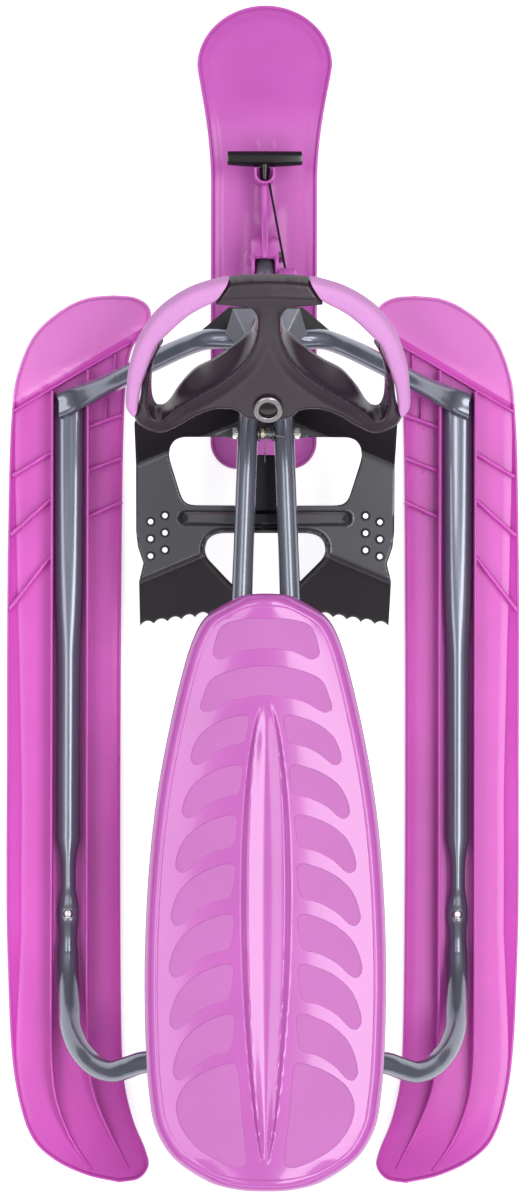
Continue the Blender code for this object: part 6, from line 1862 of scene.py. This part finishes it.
@dataclass
class BrakePivot:
    """The brake's pivot: its bolt, nut, spacer and return spring."""

    beam_side: float = 0.01747
    wire: float = 0.0006
    coil_radius: float = 0.0052
    pitch: float = 0.00165
    turns: float = 2.75

    def build(self) -> list[Item]:
        """Build the pivot's pieces.

        Returns:
            The objects.
        """
        centre = BRAKE_PIVOT
        outside = self.beam_side + 0.0103
        made = []
        shell = Shell("brake bolt")
        hexagon_bolt(shell, centre + ACROSS * outside, centre - ACROSS * (outside + 0.006), 0.003, 0.0062, 0.0046)
        made.append(shell.single(BRIGHT_ZINC, "frame"))
        shell = Shell("brake nut")
        hexagon_nut(shell, centre - ACROSS * outside, -ACROSS, *NUT_SIZES)
        made.append(shell.single(BRIGHT_ZINC, "frame"))
        shell = Shell("brake spacer")
        shell.turned(((0.0033, 0.005), (0.0045, 0.005), (0.0048, 0.0047), (0.0048, 0.0019), (0.0045, 0.0016),
                      (0.0033, 0.0016)), centre, ACROSS, 40)
        made.append(shell.single(YELLOW_ZINC, "frame"))
        made.append(self.spring())
        return made

    def spring(self) -> Item:
        """Build the spring: turns round the bolt, a leg back on the plate and a leg over the beam.

        Returns:
            The spring's object.
        """
        centre = BRAKE_PIVOT
        angle = np.linspace(0.0, self.turns * TURN, 150)
        start_x, heel_y, foot_y, beam_rise, over = 0.0005, -0.1395, -0.1345, 0.0111, 0.0038
        coil = np.column_stack((start_x - self.pitch * angle / TURN, centre[1] + self.coil_radius * np.sin(angle),
                                centre[2] - self.coil_radius * np.cos(angle)))
        rest_z = BrakePlate.height + BrakePlate.sheet + self.wire + 0.0003
        rear = ((start_x, foot_y, rest_z), (start_x, heel_y, rest_z + 0.0008),
                (start_x, centre[1] - 0.002, centre[2] - self.coil_radius - 0.0012))
        end = coil[-1]
        top = beam_rise + centre[2] + over
        front = ((end[0], end[1] + 0.0006, end[2] + 0.006), (end[0], end[1] + 0.006, top + 0.0006),
                 (end[0] - 0.004, end[1] + 0.0075, top + 0.0012), (end[0] - 0.013, end[1] + 0.009, top + 0.0012))
        path = np.vstack((route(rear, 24)[:-1], coil, route((end, *front), 40)[1:]))
        shell = Shell("brake spring")
        shell.sweep(path, oval(self.wire, self.wire, 10), ACROSS + 0.3 * UP, ends="round")
        return shell.single(SPRING_WIRE, "frame", 70.0)


@dataclass
class Seat:
    """The seat: a crowned glossy shell with a double spine, and the matt pads moulded into it."""

    front: float = -0.0067
    rear: float = 0.57
    crown: float = 0.232
    sheet: float = 0.0035
    crown_fall: float = 0.01
    rim_size: Pair = (0.0095, 0.0115)
    spine_share: float = 0.84
    rim_step: float = 0.0011
    edge_drop: float = 0.01
    skirt: float = 0.026
    spine_height: float = 0.0054
    spine_half: float = 0.0246
    spine_ends: Pair = (0.096, 0.547)
    widths: Pairs = (
        (0.0, 0.0336), (0.0163, 0.0586), (0.0374, 0.0706), (0.0749, 0.082), (0.1373, 0.096), (0.1958, 0.106),
        (0.2554, 0.1123), (0.32, 0.1158), (0.38, 0.1166), (0.4454, 0.1147), (0.474, 0.1123),
        (0.508, 0.1065), (0.5376, 0.09), (0.5587, 0.061))
    pad_tops: Pairs = (
        (249.6, 715.0), (243.8, 765.0), (238.5, 815.0), (236.5, 864.0), (235.5, 914.5), (235.0, 964.5),
        (236.5, 1014.5))
    pad_tips: Pairs = (
        (191.0, 764.0), (182.5, 817.5), (176.0, 872.0), (171.5, 925.0), (169.8, 977.0), (170.5, 1029.0),
        (174.0, 1080.0))
    leaf: Pairs = (
        (0.02, 0.03), (0.1, -0.01), (0.34, 0.05), (0.6, 0.18), (0.84, 0.4), (0.97, 0.68), (1.0, 0.9),
        (0.93, 1.0), (0.84, 0.985), (0.62, 0.78), (0.36, 0.63), (0.16, 0.575), (0.09, 0.545), (0.045, 0.42))
    pad_rise: float = 0.0006
    pad_edge: float = 0.0006
    pad_sheet: float = 0.0024
    plan_zero: Pair = (266.5, 600.0)
    plan_unit: float = 0.000961
    rings: int = 74

    def outline(self) -> Array:
        """The seat's outline: half widths from the table, with a round end before and behind it.

        Returns:
            The outline's plan points, evenly spaced.
        """
        rows = ((self.front, 0.0), (self.front + 0.0004, 0.012), (self.front + 0.0022, 0.023), *self.widths,
                (0.565, 0.045), (0.5692, 0.022), (self.rear, 0.0))
        half = np.array([(width, place) for place, width in rows])
        ends = np.vstack((half[2:0:-1] * (-1.0, 1.0), half, half[-2:-4:-1] * (-1.0, 1.0)))
        dense = route(ends, 1600)
        first, last = np.flatnonzero(np.diff(np.sign(dense[:, 0])) != 0)[[0, -1]]
        side = dense[first + 1:last + 1]
        lengths = np.concatenate(([0.0], np.cumsum(np.linalg.norm(np.diff(side, axis=0), axis=1))))
        even = np.linspace(0.0, lengths[-1], 240)
        smooth = np.column_stack([np.interp(even, lengths, side[:, axis]) for axis in (0, 1)])
        smooth[[0, -1], 0] = 0.0
        for _ in range(3):
            smooth[1:-1] = (smooth[:-2] + 2 * smooth[1:-1] + smooth[2:]) / 4
        return np.vstack((smooth, (smooth * (-1.0, 1.0))[-2:0:-1]))

    def height(self, plan: Array) -> Array:
        """Top height of the seat inside its rim.

        The crown falls with the square of the share of the way to the side. The spine adds two humps: over its
        half width it eases up from the side, and down again by half its height to a groove in the middle.

        Args:
            plan: Plan points, with X and Y in their last axis.

        Returns:
            The heights.
        """
        x, y = np.abs(plan[..., 0]), plan[..., 1]
        places, widths = (np.array(column) for column in zip(*self.widths))
        side = x / np.interp(y, places, widths)
        crown = self.crown - self.crown_fall * np.clip(side, 0.0, 1.2) ** 2.0
        run = np.clip((y - self.spine_ends[0]) / (self.spine_ends[1] - self.spine_ends[0]), 0.0, 1.0)
        half = self.spine_half * np.sin(math.pi * run ** 0.8) ** 0.62 + 1e-6
        share = np.clip(x / half, 0.0, 1.0)
        tall = self.spine_height * ease(run / 0.1) * ease((1.0 - run) / 0.08)
        humps = ease((1.0 - share) / 0.28) * (0.5 + 0.5 * ease(share / 0.9))
        return crown + tall * humps

    def shell(self) -> Item:
        """Build the seat's shell with its rim and skirt.

        From the inner line the rim falls as a quarter ellipse to the skirt, with a small step where it starts.

        Returns:
            The shell's object.
        """
        outline = self.outline()
        middle = (self.front + self.rear) / 2
        spine = np.column_stack((np.zeros(len(outline)), middle + (outline[:, 1] - middle) * self.spine_share))
        turn = np.linspace(0.0, math.pi / 2, 9)
        across, down = self.rim_size
        depths = np.concatenate((across * (1.0 - np.cos(turn)), (0.0105, 0.0115, 0.0128, 0.016)))
        fall = np.concatenate((down * (1.0 - np.sin(turn)), (0.0, 0.0002, self.rim_step, self.rim_step)))
        plan = Ring(outline, spine, depths, self.rings).plan()
        falls = np.concatenate((fall, np.full(self.rings, self.rim_step)))
        top = raised(plan, self.height(plan) - falls[:, None])
        low = np.full((len(outline), 1), self.crown - self.edge_drop - self.skirt)
        skirt, inner = (np.hstack((outline + inset * inward_ways(outline), low)) for inset in (0.001, 0.004))
        keep = [8, 10, 12] + list(range(13, len(plan), 3)) + [len(plan) - 1]
        under = raised(plan[keep], top[keep, :, 2] - self.sheet)
        shell = Shell("seat shell")
        shell.grid(np.concatenate((under[::-1], inner[None], skirt[None], top)), columns_close=True)
        return shell.single(SEAT_GLOSS, "frame", 34.0)

    def from_units(self, places: Sequence[Sequence[float]]) -> Array:
        """Plan places in metres, from the seat's own units to the right and back from its zero."""
        return (np.array(places) - self.plan_zero) * (-self.plan_unit, self.plan_unit)

    def pad_outlines(self) -> list[Array]:
        """Closed outlines of every pad on the left, and of the two bands that cross the seat.

        Returns:
            The outlines, each of plan points.
        """
        shapes = []
        leaf = np.array(self.leaf)
        for start, tip in zip(self.pad_tops, self.pad_tips):
            corner, end = np.array(start), np.array(tip)
            spots = corner + leaf * (end - corner + (0.0, 1.0))
            shapes.append(self.from_units(spots))
        rear = ((225.0, 1064.0), (235.5, 1063.0), (239.0, 1070.0), (243.0, 1115.0), (247.5, 1158.0),
                (246.5, 1166.0), (239.0, 1168.5), (216.0, 1160.0), (195.0, 1146.0), (181.0, 1126.0),
                (177.0, 1106.0), (184.0, 1088.0), (201.0, 1074.0))
        shapes.append(self.from_units(rear))
        both = shapes + [shape * (-1.0, 1.0) for shape in shapes]
        for band in (((266.5, 618.0), (242.0, 619.0), (222.0, 626.0), (215.5, 640.0), (213.5, 655.0), (220.0, 659.5),
                      (240.0, 651.5), (266.5, 648.5)),
                     ((266.5, 665.5), (236.0, 669.0), (211.0, 680.0), (203.0, 697.0), (200.5, 709.0), (207.0, 712.5),
                      (230.0, 701.5), (266.5, 695.5))):
            both.append(mirrored_outline(self.from_units(band)))
        return both

    def pads(self) -> Item:
        """Build the matt pads: each is drawn in from its outline, raised a little with a soft edge.

        Returns:
            The pads' object.
        """
        shell = Shell("seat pads")
        share = np.array((1.0, 0.995, 0.982, 0.965, 0.9, 0.8, 0.65, 0.5, 0.35, 0.2, 0.08, 0.0))
        rise = np.array((-0.9, 0.25, 0.8, *([1.0] * 9))) * self.pad_rise - self.rim_step
        band_width, reach, dip, arch_rise = 0.09, 0.86, 0.008, 0.024
        for outline in self.pad_outlines():
            edge = route(outline, 96, closed=True)
            centre = spine = edge.mean(axis=0)
            if np.ptp(edge[:, 0]) > band_width:
                arch = (np.abs(edge[:, 0]) / np.abs(edge[:, 0]).max()) ** 2
                spine = np.column_stack((edge[:, 0] * reach, centre[1] - dip + arch_rise * arch))
            plan = spine + (edge - spine)[None] * share[:, None, None]
            top = raised(plan, self.height(plan) + rise[:, None])
            low = top[:1].copy()
            low[..., 2] -= self.pad_edge
            base = np.broadcast_to(spine, edge.shape)
            under = raised(base, self.height(base) - self.pad_sheet)
            shell.grid(np.concatenate((under[None], low, top)), columns_close=True)
        return shell.piece(SEAT_MATT, "frame", (), 50.0)

    def build(self) -> list[Item]:
        """Build the shell and the pads."""
        return [self.shell(), self.pads()]


@dataclass
class Fasteners:
    """The screws, pins and nuts that no other class makes."""

    screw_z: float = 0.0175
    made: list[Item] = field(default_factory=list)

    def ski_screw(self, side: Side) -> None:
        """Build a ski screw: a low domed head with a cross in it, over a washer.

        Args:
            side: The rider's side.
        """
        shell = Shell(f"ski screw {side.word}")
        spot = np.array((side.value * SKI_SCREW[0], SKI_SCREW[1], self.screw_z))
        shell.turned(((0.0, 0.0016), (0.0006, 0.0018), (0.0012, 0.0027), (0.003, 0.0025), (0.0044, 0.0016),
                      (0.005, 0.0004), (0.005, 0.0), (0.0025, 0.0), (0.0025, -0.016), (0.0, -0.016)), spot, UP, 32)
        for angle in (0.0, math.pi / 2):
            way = np.array((math.cos(angle + 0.6), math.sin(angle + 0.6), 0.0))
            path = spot + np.array((-1.0, 1.0))[:, None] * way * 0.0026 + UP * 0.0024
            shell.sweep(path, oval(0.0004, 0.0005, 8, 4.0), UP)
        self.made.append(shell.single(BRIGHT_ZINC, "frame"))

    def pivot_pin(self) -> None:
        """Build the ski's pivot pin with its round head, and its nut."""
        centre = np.array((0.0, *SKI_PIVOT))
        outside = 0.0138
        shell = Shell("ski pivot pin")
        shell.turned(((0.0, 0.004), (0.003, 0.0038), (0.0052, 0.0028), (0.0064, 0.001), (0.0065, 0.0),
                      (0.003, 0.0), (0.003, -2 * outside - 0.0058), (0.0, -2 * outside - 0.0058)),
                     centre + ACROSS * outside, ACROSS, 36)
        self.made.append(shell.single(BRIGHT_ZINC, "front_ski"))
        shell = Shell("ski pivot nut")
        hexagon_nut(shell, centre - ACROSS * outside, -ACROSS, *NUT_SIZES)
        self.made.append(shell.single(BRIGHT_ZINC, "front_ski"))

    def wheel_bolt(self) -> None:
        """Build the wheel's cross bolt and nut."""
        reach = 0.0183
        shell = Shell("wheel bolt")
        hexagon_bolt(shell, on_column(0.042, reach), on_column(0.042, -reach - 0.0058), 0.003, 0.0055, 0.0032)
        self.made.append(shell.single(BRIGHT_ZINC, "steering"))
        shell = Shell("wheel nut")
        hexagon_nut(shell, on_column(0.042, -reach), -ACROSS, *NUT_SIZES)
        self.made.append(shell.single(BRIGHT_ZINC, "steering"))

    def build(self) -> list[Item]:
        """Build all of them."""
        for side in Side:
            self.ski_screw(side)
        self.pivot_pin()
        self.wheel_bolt()
        return self.made


@dataclass
class CadPieces:
    """The CAD nodes that stay, with the finish that each is dressed in."""

    finishes: dict[str, Finish] = field(default_factory=lambda: {
        # The gusset plate's near-black is partly painted shade under the head bracket.
        "gusset_plate": DARK_PAINT_AND_SHADE, "bushing_upper": BUSH_PLASTIC, "bushing_lower": BUSH_PLASTIC,
        "rewind_spring": SPRING_WIRE, "rope_spool": BUSH_PLASTIC, "rope_winding": DARK_PAINT_AND_SHADE,
        "seat_plate_front": BRACKET_PAINT, "seat_plate_rear": BRACKET_PAINT, "seat_screw_1": BRIGHT_ZINC,
        "seat_screw_2": BRIGHT_ZINC, "seat_screw_3": BRIGHT_ZINC, "seat_screw_4": BRIGHT_ZINC})

    def dress(self, nodes: dict[str, Item]) -> None:
        """Give each node its material.

        Args:
            nodes: The CAD nodes by name.
        """
        for name, finish in self.finishes.items():
            mesh = nodes[name].data
            mesh.materials.clear()
            mesh.materials.append(finish.material())
            LOG.info("%s: CAD node dressed in %s", name, finish.name)


@dataclass
class Studio:
    """The floor, lamps, world and camera."""

    camera_height: float = 6.0
    frame_height: float = 1.2
    camera_x: float = 0.085
    aside: float = 0.0006
    roll: float = math.radians(0.12)
    floor_shade: tuple[int, int, int] = (236, 236, 238)
    floor_lift: float = 0.64

    def floor(self) -> None:
        """Lay a pale floor that shows the camera nearly white and keeps the sled's shadow."""
        mesh = bpy.data.meshes.new("floor")
        mesh.from_pydata([(-6.0, -6.0, 0.0), (6.0, -6.0, 0.0), (6.0, 6.0, 0.0), (-6.0, 6.0, 0.0)], [], [(0, 1, 2, 3)])
        ground = bpy.data.objects.new("floor", mesh)
        bpy.context.scene.collection.objects.link(ground)
        material = bpy.data.materials.new("floor")
        material.use_nodes = True
        graph, nodes = NodeGraph(material.node_tree), material.node_tree.nodes
        shader = nodes["Principled BSDF"]
        graph.feed(shader, {"Base Color": linear(self.floor_shade), "Roughness": 0.9, "Specular IOR Level": 0.0})
        path = graph.node("LightPath", {}).outputs
        seen = path["Is Camera Ray"]
        for name in ("Is Glossy Ray", "Is Transmission Ray"):
            seen = graph.math("MAXIMUM", seen, path[name])
        lift = graph.math("MULTIPLY", seen, self.floor_lift)
        glow = graph.node("Emission", {"Color": (1.0, 1.0, 1.0, 1.0), "Strength": lift})
        total = graph.node("AddShader", {0: shader.outputs["BSDF"], 1: glow.outputs["Emission"]})
        graph.feed(nodes["Material Output"], {"Surface": total.outputs["Shader"]})
        mesh.materials.append(material)

    def lamp(self, name: str, place: Triple, size: Pair, power: float) -> None:
        """Hang a soft lamp that faces the sled's middle.

        Args:
            name: The lamp's name.
            place: Where it hangs.
            size: Its width across the sled and its length along it.
            power: Its power in watts.
        """
        data = bpy.data.lights.new(name, "AREA")
        data.shape = "RECTANGLE"
        data.size, data.size_y = size
        data.energy = power
        item = bpy.data.objects.new(name, data)
        bpy.context.scene.collection.objects.link(item)
        away = np.array(place) - np.array((0.0, 0.0, 0.1))
        away /= np.linalg.norm(away)
        side = np.cross(ALONG, away)
        side /= np.linalg.norm(side)
        frame = np.eye(4)
        frame[:3, 0], frame[:3, 1], frame[:3, 2], frame[:3, 3] = side, np.cross(away, side), away, place
        item.matrix_world = Matrix(frame.tolist())

    def world(self) -> None:
        """Set a pale world: white to the camera, and as light brightest overhead and dim at the horizon."""
        world = bpy.data.worlds.new("studio")
        world.use_nodes = True
        graph = NodeGraph(world.node_tree)
        way = graph.node("TexCoord", {}).outputs["Generated"]
        height = graph.node("SeparateXYZ", {"Vector": way}).outputs["Z"]
        light = graph.node("MapRange", {"Value": height, "From Min": 0.0, "From Max": 0.95, "To Min": 0.1,
                                        "To Max": 0.62}, interpolation_type="SMOOTHSTEP").outputs["Result"]
        strength = graph.math("MAXIMUM", light, graph.node("LightPath", {}).outputs["Is Camera Ray"])
        graph.feed(world.node_tree.nodes["Background"], {"Color": (1.0, 1.0, 1.0, 1.0), "Strength": strength})
        bpy.context.scene.world = world

    def camera(self) -> None:
        """Set the camera straight above the sled, with the sled's front at the top of the picture."""
        data = bpy.data.cameras.new("camera")
        data.sensor_fit = "VERTICAL"
        data.sensor_height = 24.0
        data.lens = 24.0 * self.camera_height / self.frame_height
        data.shift_x = self.camera_x / self.frame_height
        data.clip_end = 50.0
        item = bpy.data.objects.new("camera", data)
        bpy.context.scene.collection.objects.link(item)
        item.location = (self.camera_x + self.aside, DATUM[1], self.camera_height)
        item.rotation_euler = (0.0, 0.0, math.pi + self.roll)
        bpy.context.scene.camera = item

    def build(self) -> None:
        """Set up the floor, lamps, world and camera."""
        self.floor()
        self.world()
        self.lamp("left bank", (1.65, 0.0, 4.0), (1.4, 3.8), 47.0)
        self.lamp("right bank", (-1.25, 0.0, 4.0), (1.3, 3.8), 86.0)
        self.lamp("rear bank", (0.0, 3.4, 1.75), (4.8, 1.0), 28.0)
        self.camera()
        scene = bpy.context.scene
        scene.view_settings.view_transform = "Standard"


def main() -> None:
    """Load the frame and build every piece."""
    logging.basicConfig(level=logging.INFO, format="%(message)s")
    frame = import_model()
    CadPieces().dress(frame["nodes"])
    for side in Side:
        SideSki(side).build()
        SideRail(side).build()
        CrossTube(side).build()
        MainBeam(side).build()
    head = Head()
    head.bracket()
    head.tube()
    head.column()
    SteeringWheel().build()
    FrontSki().build()
    TowGear().build()
    BrakePlate().build()
    BrakePivot().build()
    Seat().build()
    Fasteners().build()
    Studio().build()


if __name__ == "__main__":
    main()
